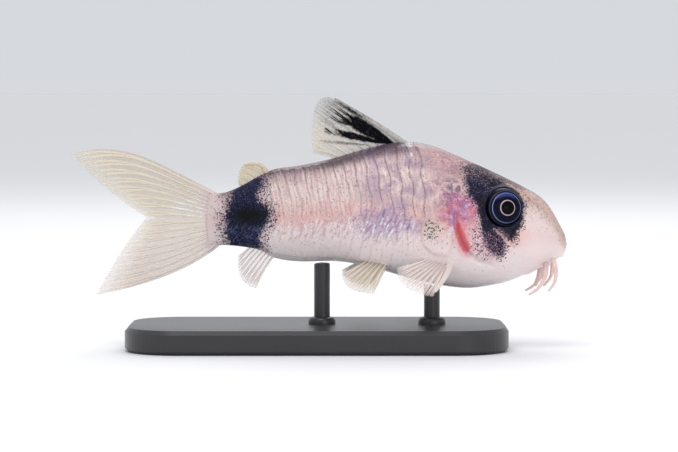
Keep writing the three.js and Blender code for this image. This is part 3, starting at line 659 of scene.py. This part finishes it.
HEAD_PAINTS = (
    ("F0DCDA", 0.75, ("x", 19.4, 21.6, "fine", 1.6), ("uneven", 0.95, 0.7)),
    ("CBAAA2", 0.7, "brow"),
    ("E6C9B6", 0.5, "brow", ("fine", 0.52, 0.7)),
    # painted shade: a thin dark line along the head's top profile
    ("5A4C54", 0.75, ("x", 8.8, 11.5), ("below_back", 0.5, 0.05)),
    ("CDB0A4", 0.8, ("x", 20.0, 21.4), ("below_back", 2.0, 0.2)),
    # painted shade: a thin dark line along the snout's top profile
    ("8C7470", 0.5, ("x", 20.0, 21.4), ("below_back", 0.22, 0.04)),
    ("C09C90", 0.5, "spotted", ("freckle", 0.5, 0.62)),
    ("F1DDD0", 0.6, "spotted", ("fine", 0.54, 0.66)),
    ("84707F", 0.7, "nape", ("cloud", 0.49, 0.62)),
    ("C2939F", 0.42, "nape"),
    ("EFD6D6", 0.5, "nape", ("fine", 0.56, 0.7)),
    ("5E4C62", 0.8, "dusky", ("smoke", 0.42, 0.56)),
    # painted highlights: whitish glints among the dusky mottles
    ("E9E0F0", 0.6, "dusky", ("grit", 0.6, 0.7)),
    ("CC7590", 0.75, "flushed"),
    ("B4507E", 0.7, "flushed", ("bloom", 0.5, 0.64)),
    ("9A86B4", 0.6, "flushed", ("soft", 0.54, 0.66)),
    ("D9B9D6", 0.7, "flushed", ("vein", 0.54, 0.64)),
    # painted highlights: whitish glints in the pink flush
    ("F6EAF4", 0.7, "flushed", ("grit", 0.64, 0.74)),
    ("CFBCAE", 0.6, "shoulder_plate"),
    # painted highlights: pale streaks on the nape's plates and beside the red gill
    ("EFE8EE", 0.75, ("any_glint", 0.25, 0.7, "fine", 1.4, "streak", 1.4)),
    ("DE8E9C", 0.5, ("gill", -0.75, -0.15, "fine", 0.35)),
    ("D04E58", 0.85, ("gill", -0.15, 0.2, "fine", 0.35)),
    ("DAC8C6", 0.85, ("x", -9.2, -10.4, "fine", 0.8, "streak", 0.9)),
)
DARK_PAINTS = (
    ("735468", 1, "plate_lines"),
    ("4A3A4A", 0.7, "under_sail"),
    ("spot", 1, "sparse_dots"),
    ("664C5A", 0.5, "small_dots"),
    ("4E3C4A", 0.5, "ridge"),
    ("C99DAA", 0.75, "cheek"),
    ("1B1422", 0.92, "dense_dots"),
    ("FBF3F3", 0.85, "cheek", ("salt", 0.56, 0.64)),
    # the band's navy carries painted glints high on the band
    ("navy", 1, "band_cover"),
    ("CBA5A4", 0.72, ("parting", 0.18, 0.02, "fine", 0.8, "grit", 0.5)),
    ("9C8696", 0.5, ("blotch", -1.1, 0.1, "soft", 0.8, "fine", 0.6)),
    ("12101C", 0.92, "edge_dots"),
    # the blotch's ink carries painted glint streaks
    ("ink", 1, "tail_blotch"),
)


class SkinPen(Nodes):
    """Nodes of the skin's finish, whose values, masks and mixed colours are kept by name."""

    def __init__(self, tree):
        super().__init__(tree)
        self.where = self.millimetres()
        x, _, z = self.split(self.where)
        self.kept = dict(x=x, z=z, **{name: self.read(name) for name in SKIN_VALUES})

    def part(self, name, start, full, *shakes):
        return self.step(self.shaken(name, *zip(shakes[::2], shakes[1::2])), start, full)

    def mask(self, *parts):
        return self.times(*(part if isinstance(part, str) else self.part(*part) for part in parts))

    def leaning(self, turn, length, width):
        streaks = self.mapped(self.where, "TEXTURE", rotation=(0, turn, 0), scale=(length, width, width))
        return self.noise(streaks, 1.0, 3, 0.6)

    def dots(self, scale, amount, size):
        return self.group(DOTS, Vector=self.where, Scale=scale, Amount=amount, Size=size)

    def paint(self, under, layers):
        for shade, strength, *parts in layers:
            mask = self.mask(*parts)
            under = self.mix(mask if strength == 1 else self.times(mask, strength), under, shade)
        return under


def keep_noises_and_masks(pen):
    kept = pen.kept
    moved = pen.mapped(pen.where, location=NOISE_MOVE)
    for start, noises in ((pen.where, SKIN_NOISES), (moved, MOVED_NOISES)):
        for name, *settings in noises:
            kept[name] = pen.noise(start, *settings)
    along_plate = pen.put("ShaderNodeCombineXYZ", ((0, pen.times("plate", PLATE_STREAKS)),
                                                   (1, pen.times("z", 0.6)))).outputs[0]
    kept["streak"] = pen.noise(along_plate, 1.0, 4, 0.62)
    kept["slanted"] = pen.leaning(*SLANTED)
    kept["combed"] = pen.leaning(*COMBED)
    # Where highlights are painted, on the nape and beside the red gill
    kept["any_glint"] = pen.most("nape_glint", "gill_glint")
    kept["uneven"] = pen.shaken("height", ("soft", 0.16), ("fine", 0.1))
    for name, *parts in MASKS:
        kept[name] = pen.mask(*parts)


def keep_pigment(pen):
    """Plate lines and pigment cells, thickest along the back, on the plates' edges and on the cheek."""
    kept, times, step = pen.kept, pen.times, pen.step
    kept["ridge"] = pen.most("crest", "under_sail")
    front = times(step("x", 5.0, 9.0), 0.3)
    kept["plate_lines"] = times("line_place", pen.add(0.14, front, times("back", 0.26)))
    clusters = pen.add(0.16, times(step("soft", 0.42, 0.62), 0.3))
    amount = pen.add(times("back", clusters), times("rim", 0.4))
    amount = pen.most(amount, "ridge", times("flank", 0.22), times("lilac_sheen", 0.45), times("brow", 0.5))
    amount = times(amount, step("x", -11.3, -10.2))
    kept["sparse_dots"] = times(pen.dots(3.9, amount, 0.36), pen.add(0.48, times("ridge", 0.3)))
    amount = times(pen.most(amount, times("hatched", 0.42)), 1.2)
    kept["small_dots"] = pen.dots(6.4, pen.add(amount, times(step("x", 21.5, 17.0), 0.09)), 0.42)
    amount = pen.most(times("cheek", 0.75), "near_band", times("shoulder_plate", 0.6))
    kept["dense_dots"] = pen.dots(6.6, amount, 0.68)
    kept["edge_dots"] = pen.dots(6.2, step("blotch", -1.3, 0.05), 0.66)


def keep_dark_colours(pen):
    """The pigment's brown, the eye band's navy with painted glints high on it, and the tail blotch's ink
    with painted glint streaks.
    """
    kept = pen.kept
    kept["spot"] = pen.mix(pen.step("height", 0.45, 0.7), "7A6070", "4A3542")
    kept["band_cover"] = pen.times("eye_band", pen.less(1.0, pen.times("band_faded", 0.6)))
    kept["navy"] = pen.paint(pen.mix(pen.step("fine", 0.5, 0.74), "100F1F", "343760"), (
        ("7A5A70", 1, "band_low", ("grit", 0.5, 0.6)),
        ("D9BCC8", 1, "band_low", ("grit", 0.63, 0.7)),
        # painted highlights: pale blue-grey glints high on the eye band
        ("8F8BB4", 1, ("grit", 0.6, 0.7), ("z", 15.0, 16.2))))
    # Painted highlights: lighter blue-grey streaks and specks on the tail blotch
    glints = pen.most(pen.mask(("combed", 0.5, 0.64), ("z", 13.4, 12.4)), pen.step("grit", 0.54, 0.68))
    kept["ink_glint"] = pen.times(glints, pen.less(1.0, "blotch_core"))
    kept["ink"] = pen.paint(pen.mix("blotch_core", "101230", "020206"), (("5A6088", 0.7, "ink_glint"),))


def skin_finish():
    """Moist gloss, pearly on the plates, dull where the skin is dark."""
    finish, pen, shader = new_finish(
        "corydoras_skin", SkinPen, Subsurface_Weight=0.12, Subsurface_Scale=0.0004, IOR=1.4,
        Specular_IOR_Level=0.22, Coat_Roughness=0.14, Subsurface_Radius=FLESH_SCATTER)
    keep_noises_and_masks(pen)
    keep_pigment(pen)
    keep_dark_colours(pen)
    base = pen.paint(pen.ramp("uneven", GROUND), (*PLATE_PAINTS, *HEAD_PAINTS, *DARK_PAINTS))
    light = pen.less(1.0, pen.most("eye_band", "tail_blotch"))
    pearl = pen.mask(("height", 0.1, 0.4), ("height", 0.98, 0.7))
    grain = pen.group(GRAIN, Vector=pen.where, Pores=6.5, Swell=1.6)
    ribs = pen.times("streak", "plated", 1.2)
    pen.feed(shader, Base_Color=base, Metallic=pen.times(pearl, light, 0.2),
             Roughness=pen.add(0.3, pen.times("fine", 0.25)),
             Coat_Weight=pen.times(pen.add(0.2, pen.times("soft", 0.35)), light),
             Normal=pen.bump(pen.add(grain, ribs), 0.45, 0.00012))
    return finish


# Eyes

# The eye's rings from the pupil's centre outwards: share of the way, colour
EYE_RINGS = (
    (0.0, "000001"), (0.198, "000001"), (0.207, "B09EAE"), (0.218, "D8CCD8"), (0.228, "8E829A"),
    (0.24, "04040D"), (0.33, "070616"), (0.40, "0B0A24"), (0.455, "11103A"), (0.472, "7C84AA"),
    (0.482, "98A0BC"), (0.495, "14152C"), (0.56, "0A0A18"), (0.60, "3C4658"), (0.64, "0C0B18"),
    (1.0, "06060C"))
RING_SPREAD = 1.8


def eye_finish():
    """Rings round the pupil by the sphere's own UV, whose V runs from the back to the pupil's centre."""
    finish, pen, shader = new_finish("eye", Roughness=0.35, Coat_Weight=0.14, Coat_Roughness=0.02,
                                     Coat_IOR=1.4, Specular_IOR_Level=0.04)
    uv = pen.put("ShaderNodeUVMap").outputs[0]
    where = pen.millimetres()
    fleck = pen.noise(where, 3.0, 5)
    streaks = pen.noise(pen.mapped(uv, scale=(60, 6, 1)), 1.0, 3)
    out = pen.shaken(pen.less(1.0, pen.split(uv)[1]), (fleck, 0.006))
    rings = pen.ramp(pen.times(out, RING_SPREAD), EYE_RINGS)
    high = pen.step(pen.split(where)[2], EYE["z"] + 0.8, EYE["z"] + 1.4)
    crown = pen.times(high, pen.step(out, 0.17, 0.21), pen.step(out, 0.3, 0.26),
                      pen.add(0.15, pen.times(streaks, 0.6)))
    shade = pen.mix(crown, rings, "4F5CAE")
    cloud = pen.times(pen.step(out, 0.14, 0.18), pen.step(fleck, 0.5, 0.75), 0.22)
    pen.feed(shader, Base_Color=pen.mix(cloud, shade, "2A2D66"),
             Metallic=pen.times(pen.step(out, 0.105, 0.12), 0.1))
    return finish


def make_eye(side, finish):
    """A ball in its socket, turned a little forward and up: a bulging lens in a ring-shaped iris."""
    label = "left" if side > 0 else "right"
    bpy.ops.mesh.primitive_uv_sphere_add(segments=96, ring_count=96, radius=1)
    eye = named(f"eyeball_{label}")
    ball = vertices(eye)
    out = np.hypot(ball[:, 0], ball[:, 1])
    front = ball[:, 2] > 0
    ball = ball * np.array([EYE["radius"], EYE["radius"], EYE["depth"]])
    ring = np.where(front, out * EYE["radius"], 9)
    ball[:, 2] += LENS["rise"] * np.sqrt(np.clip(1 - (ring / LENS["radius"]) ** 2, 0, 1))
    for rise, radius, width in IRIS_RINGS:
        ball[:, 2] += rise * bell(ring - radius, width)
    turn = (Matrix.Rotation(-side * EYE["forward"], 3, "Z") @ Matrix.Rotation(side * EYE["up"], 3, "X")
            @ Matrix.Rotation(-side * math.pi / 2, 3, "X"))
    reach = half_width_at(EYE["x"], EYE["z"]) + EYE["proud"] - EYE["depth"]
    place_vertices(eye, ball @ np.array(turn).T + np.array([EYE["x"], side * reach, EYE["z"]]))
    smooth(eye, 180)
    hand_over(eye, "eye", finish, f"eye_{label}")


# Fins

def bezier(a, b, c, t):
    a, b, c = (np.asarray(p, float) for p in (a, b, c))
    t = np.asarray(t, float)[..., None]
    return (1 - t) ** 2 * a + 2 * t * (1 - t) * b + t**2 * c


def ray_ridges(u, v, rays):
    """How much a point lies on a ray, 0 to 1. Each ray forks twice on its way out."""
    local = u * rays - np.floor(u * rays) - 0.5
    first = 0.25 * ease(v, 0.3, 1.0)
    second = 0.11 * ease(v, 0.62, 1.0)
    near = np.abs(np.abs(np.abs(local) - first) - second)
    near = np.where(v < 0.3, np.abs(local), near)
    return bell(near, 0.17 - 0.1 * v)


FIN_NOTCH = 0.022
FIN_THICKNESS = 0.476
THICKNESS_LEVELS = 20


def make_fin(name, rays, base, tip, bulge, thick=FIN_THICKNESS, columns=14, rows=64, cup=None):
    """A membrane on a grid, thicker on its rays: u runs from first to last ray, v from root to tip."""
    bpy.ops.mesh.primitive_grid_add(x_subdivisions=rays * columns, y_subdivisions=rows, size=2)
    fin = named(name)
    flat = vertices(fin)
    u, v = (flat[:, 0] + 1) / 2, (flat[:, 1] + 1) / 2
    ridge = ray_ridges(u, v, rays)
    start, end = base(u), tip(u)
    middle = (start + end) / 2 + bulge(u)
    t = (v * (1 - FIN_NOTCH * (1 - ridge) * ease(v, 0.9, 1.0)))[:, None]
    points = (1 - t) ** 2 * start + 2 * t * (1 - t) * middle + t**2 * end
    if cup is not None:
        points = points + cup(u, v)
    place_vertices(fin, swing(points))
    for attribute, values in (("ray", ridge), ("along", v), ("across", u)):
        keep_attribute(fin, attribute, values)
    weights = fin.vertex_groups.new(name="thickness")
    amount = np.clip((0.3 + 0.7 * ridge) * (1 - 0.62 * v) * (0.7 + 0.3 * (1 - ease(v, 0.02, 0.16))), 0, 1)
    levels = np.round(amount * THICKNESS_LEVELS)
    for level in range(THICKNESS_LEVELS + 1):
        chosen = np.nonzero(levels == level)[0]
        if len(chosen):
            weights.add(chosen.tolist(), level / THICKNESS_LEVELS, "REPLACE")
    shell = fin.modifiers.new("thickness", "SOLIDIFY")
    shell.thickness = thick * MM
    shell.offset = 0
    shell.vertex_group = "thickness"
    shell.thickness_vertex_group = 0.05
    apply_all(fin)
    face_outwards(fin)
    smooth(fin)
    return fin


def path_points(knots, t):
    """A smooth path through evenly spaced knots."""
    n = len(knots) - 1
    place = np.clip(t * n, 0, n - 1e-9)
    i = place.astype(int)
    f = (place - i)[:, None]
    before = knots[np.maximum(i - 1, 0)]
    a, b = knots[i], knots[i + 1]
    after = knots[np.minimum(i + 2, n)]
    return 0.5 * (2 * a + (b - before) * f + (2 * before - 5 * a + 4 * b - after) * f**2
                  + (3 * a - 3 * b + after - before) * f**3)


# A direction that no spine follows, from which a spine's sides are turned
NEVER_ALONG = np.array([0.13, 0.21, 0.97])


def spine_along(name, knots, root, end, sides=14, steps=40):
    """A round taper through the knots, from root radius to end radius, closed at both ends."""
    bpy.ops.mesh.primitive_grid_add(x_subdivisions=sides, y_subdivisions=steps, size=2)
    piece = named(name)
    flat = vertices(piece)
    turn = (flat[:, 0] + 1) * math.pi
    t = (flat[:, 1] + 1) / 2
    knots = np.asarray(knots, float)
    ahead = path_points(knots, np.clip(t + 0.01, 0, 1)) - path_points(knots, np.clip(t - 0.01, 0, 1))
    ahead /= np.linalg.norm(ahead, axis=1)[:, None]
    side = np.cross(ahead, NEVER_ALONG)
    side /= np.linalg.norm(side, axis=1)[:, None]
    up = np.cross(side, ahead)
    radius = (root + (end - root) * t) * np.sqrt(np.clip((1 - t) / 0.04, 0, 1))
    ring = np.cos(turn)[:, None] * up + np.sin(turn)[:, None] * side
    place_vertices(piece, swing(path_points(knots, t) + radius[:, None] * ring))
    with edit_mode():
        bpy.ops.mesh.remove_doubles(threshold=1e-7)
        bpy.ops.mesh.select_all(action="DESELECT")
        bpy.ops.mesh.select_non_manifold()
        bpy.ops.mesh.edge_face_add()
    face_outwards(piece)
    for attribute, value in (("ray", 0.55), ("along", 0.4), ("across", 0)):
        keep_attribute(piece, attribute, np.full(len(piece.data.vertices), value))
    smooth(piece)
    return piece


def joined(name, *pieces):
    select_only(*pieces)
    bpy.ops.object.join()
    return named(name)


def straight(a, b):
    a, b = np.asarray(a, float), np.asarray(b, float)
    return lambda u: a + (b - a) * u[:, None]


def curved(a, b, c):
    return lambda u: bezier(a, b, c, u)


def fading(x, y, z):
    return lambda u: np.array([x, y, z], float) * (1 - u)[:, None]


# Pale joints that cross a ray between its root and its tip
RAY_JOINTS = 34.0


def fin_finish(name, rays, membrane, root, ink="08080F", clear=0.5, front=None, gloss=0.25):
    """Pale rays in a thin see-through membrane, with dark pigment where the attribute dark says, and painted
    highlights on the rays where painted glints are marked.
    """
    finish, pen, shader = new_finish(name, Roughness=0.35, IOR=1.38, Specular_IOR_Level=gloss,
                                     Coat_Weight=gloss / 2, Coat_Roughness=0.15)
    where = pen.millimetres()
    ray, along = pen.read("ray"), pen.read("along")
    fine = pen.noise(where, 4.0, 3)
    ray_shade = rays
    if front:
        ray_shade = pen.mix(pen.step(pen.read("across"), 0.45, 0.8), front, ray_shade)
    shade = pen.mix(pen.step(ray, 0.15, 0.75), membrane, ray_shade)
    joint = pen.put("ShaderNodeMath", ((0, pen.times(along, RAY_JOINTS)),), operation="FRACT").outputs[0]
    joint = pen.times(pen.step(joint, 0.78, 0.95), ray, 0.25)
    rooted = pen.times(pen.step(pen.add(along, pen.times(fine, 0.1)), 0.26, 0.08), 0.85)
    # painted highlights: pale glints on the rays, where the fin's marks place them
    glints = pen.times(pen.read("glints"), pen.step(ray, 0.3, 0.6), pen.step(fine, 0.42, 0.56))
    mottled = pen.step(pen.shaken(pen.read("dark"), (fine, 0.7)), 0.1, 0.75)
    specks = pen.group(DOTS, Vector=where, Scale=5.5, Amount=pen.times(pen.read("specks"), 0.6), Size=0.36)
    for mask, over in ((joint, "B9A58F"), (rooted, root), (glints, "FBF6FA"), (mottled, ink),
                       (pen.times(specks, 0.75), "4A3D33")):
        shade = pen.mix(mask, shade, over)
    solid = pen.add(clear, pen.times(pen.step(ray, 0.1, 0.7), 0.9 - clear))
    solid = pen.most(solid, mottled, pen.times(pen.step(along, 0.25, 0.0), 0.97))
    edge = pen.add(0.4, pen.times(pen.step(along, 1.0, 0.72), 0.6))
    pen.feed(shader, Base_Color=shade, Alpha=pen.times(solid, edge), Normal=pen.bump(fine, 0.2, 0.00005))
    return finish


def finish_fin(fin, finish, *nodes, **marks):
    """Stores the fin's markings and painted highlights, each drawn from the fin's place seen from the side,
    and hands it over.
    """
    points = vertices(fin) / MM
    x, z = points[:, 0], points[:, 2]
    for name in ("dark", "specks", "glints"):
        keep_attribute(fin, name, marks[name](x, z) if name in marks else np.zeros(len(x)))
    hand_over(fin, "fin", finish, *nodes)


# The skin, the eyes and the finishes of the fins

skin = make_skin()
hand_over(skin, "skin", skin_finish(),
          "head", "trunk", "tail_peduncle", "gill_cover_left", "gill_cover_right")

eye_look = eye_finish()
for side in (1, -1):
    make_eye(side, eye_look)

PALE_FIN = fin_finish("pale_fin", "F0E2D8", "D3C4B2", "EAD9DA", clear=0.42, front="E9DFCB")
PINK_FIN = fin_finish("pink_fin", "F4E8E2", "EDDCD8", "E2CDC8", clear=0.3)
SAIL_FIN = fin_finish("sail_fin", "E4DAC9", "D6CEC4", "A28E92", ink="05060F", clear=0.42, front="B9B6B4",
                      gloss=0.06)
AMBER_FIN = fin_finish("amber_fin", "DFCDAE", "DDD0BA", "D6BE9E")


def by_lobe(u, upper, lower):
    return np.where((u < 0.5)[:, None], upper, lower)


def caudal_tip(u):
    upper = bezier((TAIL_TIP_X, 0, 19.3), (-21.9, 0, 15.9), (-17.3, 0, 13.1), np.clip(u * 2, 0, 1))
    lower = bezier((-22.4, 0, 5.1), (-20.3, 0, 9.2), (-17.3, 0, 12.9), np.clip(2 - u * 2, 0, 1))
    return by_lobe(u, upper, lower)


def caudal_bulge(u):
    outer = np.abs(1 - u * 2)[:, None]
    return by_lobe(u, np.array([0.4, 0, 3.15]) * outer, np.array([2.2, 0, -0.9]) * outer)


def caudal_base(u):
    ends = np.abs(2 * u - 1) ** 8
    return np.stack([-10.4 + 0.65 * ends, 0 * u, 15.4 - 5.2 * u], axis=1)


def caudal_sweep(u, v):
    """The upper lobe leaves the peduncle flat and droops at its tip; both lobes cup a little."""
    droop = -0.32 * np.sin(2 * math.pi * v**0.9) * np.clip(1 - u * 2, 0, 1)
    return np.stack([0 * u, 0.35 * (2 * u - 1) ** 2 * v, droop], axis=1)


caudal = make_fin("caudal_fin", 16, caudal_base, caudal_tip, caudal_bulge,
                  thick=0.588, columns=12, rows=90, cup=caudal_sweep)
# The caudal fin's marks are painted highlights near the roots of its upper rays
finish_fin(caudal, PALE_FIN, "caudal_fin_upper_lobe", "caudal_fin_lower_lobe",
           glints=lambda x, z: ease(oval(x, z, (-12.6, 14.0), (2.4, 1.5)), 0, 0.5))

# Dark streaks of the dorsal fin: start, end, half width at its middle, strength
STREAKS = (((7.5, 20.4), (2.2, 23.5), 0.62, 1.0), ((6.6, 20.5), (1.0, 21.8), 0.34, 0.85),
           ((5.2, 21.9), (1.5, 23.0), 0.3, 0.75), ((4.6, 23.0), (2.0, 24.6), 0.2, 0.6),
           ((5.0, 20.3), (0.4, 20.7), 0.16, 0.5))


def sail_marks(x, z, ridge):
    dark = np.zeros_like(x)
    for (ax, az), (bx, bz), width, strength in STREAKS:
        length = math.hypot(bx - ax, bz - az)
        along = ((x - ax) * (bx - ax) + (z - az) * (bz - az)) / length**2
        off = distance_to_line(x, z, [(ax, az), (bx, bz)])
        swell = width * (0.35 + 2.6 * np.clip(along, 0, 1) * (1 - 0.75 * np.clip(along, 0, 1)))
        mark = strength * (1 - ease(off, 0.3 * swell, 1.5 * swell))
        fingers = 1 - ease(along, 0.55, 1.05) * (0.75 - 0.6 * ridge)
        dark = np.maximum(dark, mark * fingers)
    haze = 0.34 * ease(x, -0.6, 1.6) * ease(z - 0.25 * x, 20.2, 22.4)
    return np.maximum(dark, haze)


dorsal = make_fin("sail", 8, straight((9.0, 0, 20.0), (2.6, 0, 18.6)),
                  curved((1.2, 0, 25.1), (-0.9, 0, 25.6), (-0.5, 0, 19.5)),
                  lambda u: np.stack([0 * u, 0 * u, 0.35 * (1 - u) + 0.2 * u], axis=1))
spine = spine_along("dorsal_spine", [(9.4, 0, 20.0), (5.9, 0, 22.4), (1.7, 0, 24.95)], 0.36, 0.13)
dorsal = joined("dorsal_fin_rays", dorsal, spine)
ridges = np.empty(len(dorsal.data.vertices), np.float32)
dorsal.data.attributes["ray"].data.foreach_get("value", ridges)
finish_fin(dorsal, SAIL_FIN, "dorsal_fin", dark=lambda x, z: sail_marks(x, z, ridges),
           specks=lambda x, z: 0.8 * ease(x, 0.5, 3.0))

adipose = make_fin("adipose_web", 4, straight((-4.8, 0, 17.1), (-7.4, 0, 15.8)),
                   curved((-7.4, 0, 18.3), (-8.0, 0, 17.7), (-7.9, 0, 16.4)), fading(0.35, 0, 0.75), rows=30)
spur = spine_along("adipose_spine", [(-4.7, 0, 17.1), (-5.8, 0, 18.35), (-7.3, 0, 18.3)], 0.3, 0.13)
adipose = joined("adipose_fin_web", adipose, spur)
finish_fin(adipose, AMBER_FIN, "adipose_fin", specks=lambda x, z: ease(x, -6.5, -5))

anal = make_fin("anal_fin_rays", 7, straight((-3.9, 0, 9.5), (-6.2, 0, 10.7)),
                curved((-6.1, 0, 5.9), (-8.2, 0, 6.3), (-7.9, 0, 9.2)),
                lambda u: np.stack([-0.25 + 0 * u, 0 * u, 0.25 * (1 - 2 * u)], axis=1), rows=48)
finish_fin(anal, PINK_FIN, "anal_fin")


def mirrored(place, side):
    return lambda u: place(u) * np.array([1.0, side, 1.0])


# The paired fins: rays, rows of faces, root, tip, bulge and finish, of the left side
PAIRED = (
    ("pectoral", 8, 56, ((13.2, 3.2, 8.9), (11.9, 3.4, 9.4)),
     ((11.3, 10.2, 5.9), (7.8, 10.1, 6.3), (7.9, 6.0, 8.4)), (0.35, 0.3, 0.5), PINK_FIN),
    ("pelvic", 6, 48, ((7.3, 1.9, 9.0), (5.8, 1.7, 9.4)),
     ((5.6, 6.3, 5.9), (2.6, 5.8, 5.9), (2.5, 3.1, 7.6)), (0.2, 0.2, 0.3), PALE_FIN),
)
PECTORAL_SPINE = ((13.3, 3.2, 8.9), (12.8, 6.6, 7.9), (11.5, 9.6, 6.3))


def on_side(points, side):
    return [(x, y * side, z) for x, y, z in points]


for label, side in (("left", 1), ("right", -1)):
    for kind, rays, rows, root, tip, bulge, finish in PAIRED:
        name = f"{kind}_fin_rays_{label}"
        fin = make_fin(name, rays, mirrored(straight(*root), side), mirrored(curved(*tip), side),
                       mirrored(fading(*bulge), side), rows=rows)
        if kind == "pectoral":
            spine = spine_along(f"pectoral_spine_{label}", on_side(PECTORAL_SPINE, side), 0.42, 0.15)
            fin = joined(name, fin, spine)
        finish_fin(fin, finish, f"{kind}_fin_{label}")

# Barbels: knots in mm, then the radii at the root and at the end
BARBELS = {
    "barbel_upper": ([(23.4, 1.2, 9.3), (23.7, 2.3, 8.1), (23.6, 3.1, 6.9), (22.9, 3.6, 5.9)], 0.3, 0.1),
    "barbel_lower": ([(22.8, 1.2, 8.9), (22.7, 2.1, 7.4), (22.0, 2.6, 6.2), (21.0, 2.8, 5.5)], 0.3, 0.1),
    "barbel_chin": ([(22.4, 0.5, 8.8), (22.2, 0.75, 7.3), (21.8, 0.95, 6.2)], 0.24, 0.09),
}


def barbel_finish():
    finish, pen, shader = new_finish("barbel", Subsurface_Weight=0.3, Subsurface_Scale=0.001, IOR=1.4,
                                     Coat_Weight=0.3, Coat_Roughness=0.15, Subsurface_Radius=FLESH_SCATTER)
    where = pen.millimetres()
    grain = pen.group(GRAIN, Vector=where, Pores=8.0, Swell=2.0)
    pen.feed(shader, Base_Color=pen.mix(pen.noise(where, 2.5, 4), "F0D9D5", "D9B6B2"),
             Roughness=pen.add(0.32, pen.times(pen.noise(where, 6.0), 0.2)),
             Normal=pen.bump(grain, 0.3, 0.0001))
    return finish


feeler_look = barbel_finish()
for label, side in (("left", 1), ("right", -1)):
    for name, (knots, root, end) in BARBELS.items():
        feeler = spine_along(f"{name}_skin_{label}", on_side(knots, side), root, end, 16, 48)
        hand_over(feeler, "barbel", feeler_look, f"{name}_{label}")


# Stand

COLLAR_HEIGHT = 0.7
COLLAR_FLARE = 1.7
COLLAR_ROUNDING = 0.42


def stand_finish():
    finish, pen, shader = new_finish("stand_satin_black", IOR=1.45, Coat_Weight=0.25, Coat_Roughness=0.2)
    where = pen.millimetres()
    fine = pen.noise(where, 9.0, 3)
    pen.feed(shader, Base_Color=pen.mix(pen.noise(where, 0.25, 4), "232224", "302E31"),
             Roughness=pen.add(0.28, pen.times(fine, 0.18)), Normal=pen.bump(fine, 0.15, 0.00003))
    return finish


def make_collar(rod, finish):
    """A low boss at a rod's foot, rounded at its upper edge, that closes the gap to the base."""
    low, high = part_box(rod)
    floor_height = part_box("stand_base")[1].z
    bpy.ops.mesh.primitive_cylinder_add(
        vertices=64, radius=(high.x - low.x) / 2 * COLLAR_FLARE, depth=COLLAR_HEIGHT * MM,
        location=((low.x + high.x) / 2, 0, floor_height + COLLAR_HEIGHT * MM / 2))
    collar = named(rod.replace("rod", "collar"))
    bpy.ops.object.transform_apply(location=True)
    with edit_mode("DESELECT"):
        bpy.ops.mesh.select_mode(type="EDGE")
    crest = floor_height + COLLAR_HEIGHT * MM * 0.99
    points = collar.data.vertices
    for edge in collar.data.edges:
        edge.select = all(points[i].co.z > crest for i in edge.vertices)
    bpy.ops.object.mode_set(mode="EDIT")
    bpy.ops.mesh.bevel(offset=COLLAR_ROUNDING * MM, segments=6, affect="EDGES")
    bpy.ops.mesh.select_mode(type="VERT")
    bpy.ops.object.mode_set(mode="OBJECT")
    smooth(collar, 30)
    hand_over(collar, "stand", finish)


stand_look = stand_finish()
for node in ("stand_base", "stand_rod_front", "stand_rod_rear"):
    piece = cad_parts[node]
    piece.data.materials.clear()
    piece.data.materials.append(stand_look)
    if "rod" in node:
        make_collar(node, stand_look)

# Floor, light and camera

bpy.ops.mesh.primitive_plane_add(size=6, location=(0, 0, 0))
floor = named("floor")
floor_look, pen, shader = new_finish("pale_floor", Roughness=0.7)
pen.feed(shader, Base_Color=pen.mix(pen.noise(pen.millimetres(), 0.02), "F3F3F5", "F6F6F8"))
floor.data.materials.append(floor_look)

world = bpy.data.worlds.new("studio")
bpy.context.scene.world = world
world.use_nodes = True
sky = Nodes(world.node_tree)
up = sky.split(sky.put("ShaderNodeTexCoord").outputs["Generated"])[2]
sky.feed(world.node_tree.nodes["Background"], Strength=0.84,
         Color=sky.mix(sky.step(up, 0.0, 0.5), "E7EAEF", "F1F3F6"))


def soft_light(name, place, target, size, watts, tint):
    bpy.ops.object.light_add(type="AREA", location=place)
    light = bpy.context.object
    light.name = name
    light.data.size = size
    light.data.energy = watts
    light.data.color = tint
    light.rotation_euler = (Vector(target) - Vector(place)).to_track_quat("-Z", "Y").to_euler()


AIM = (0.002, 0, 0.013)
soft_light("key", (-0.05, -0.14, 0.34), AIM, 0.16, 0.34, (1, 0.985, 0.97))
soft_light("fill", (0.14, -0.32, 0.035), AIM, 0.20, 0.16, (0.97, 0.98, 1))
soft_light("rim", (0.02, 0.22, 0.26), AIM, 0.18, 0.3, (1, 1, 1))

CAMERA_RISE = math.radians(3)
SENSOR_WIDTH = 36
FRAME_WIDTH = 67.8
bpy.ops.object.camera_add()
camera = bpy.context.object
camera.name = "camera"
centre = Vector(VIEW_CENTRE) * MM
camera.location = centre + VIEW_DISTANCE * MM * Vector((0, -math.cos(CAMERA_RISE), math.sin(CAMERA_RISE)))
camera.rotation_euler = (centre - camera.location).to_track_quat("-Z", "Y").to_euler()
camera.data.sensor_width = SENSOR_WIDTH
camera.data.lens = SENSOR_WIDTH * VIEW_DISTANCE / FRAME_WIDTH
camera.data.clip_start = 0.01
camera.data.clip_end = 20
bpy.context.scene.camera = camera
bpy.context.scene.view_settings.view_transform = "Standard"
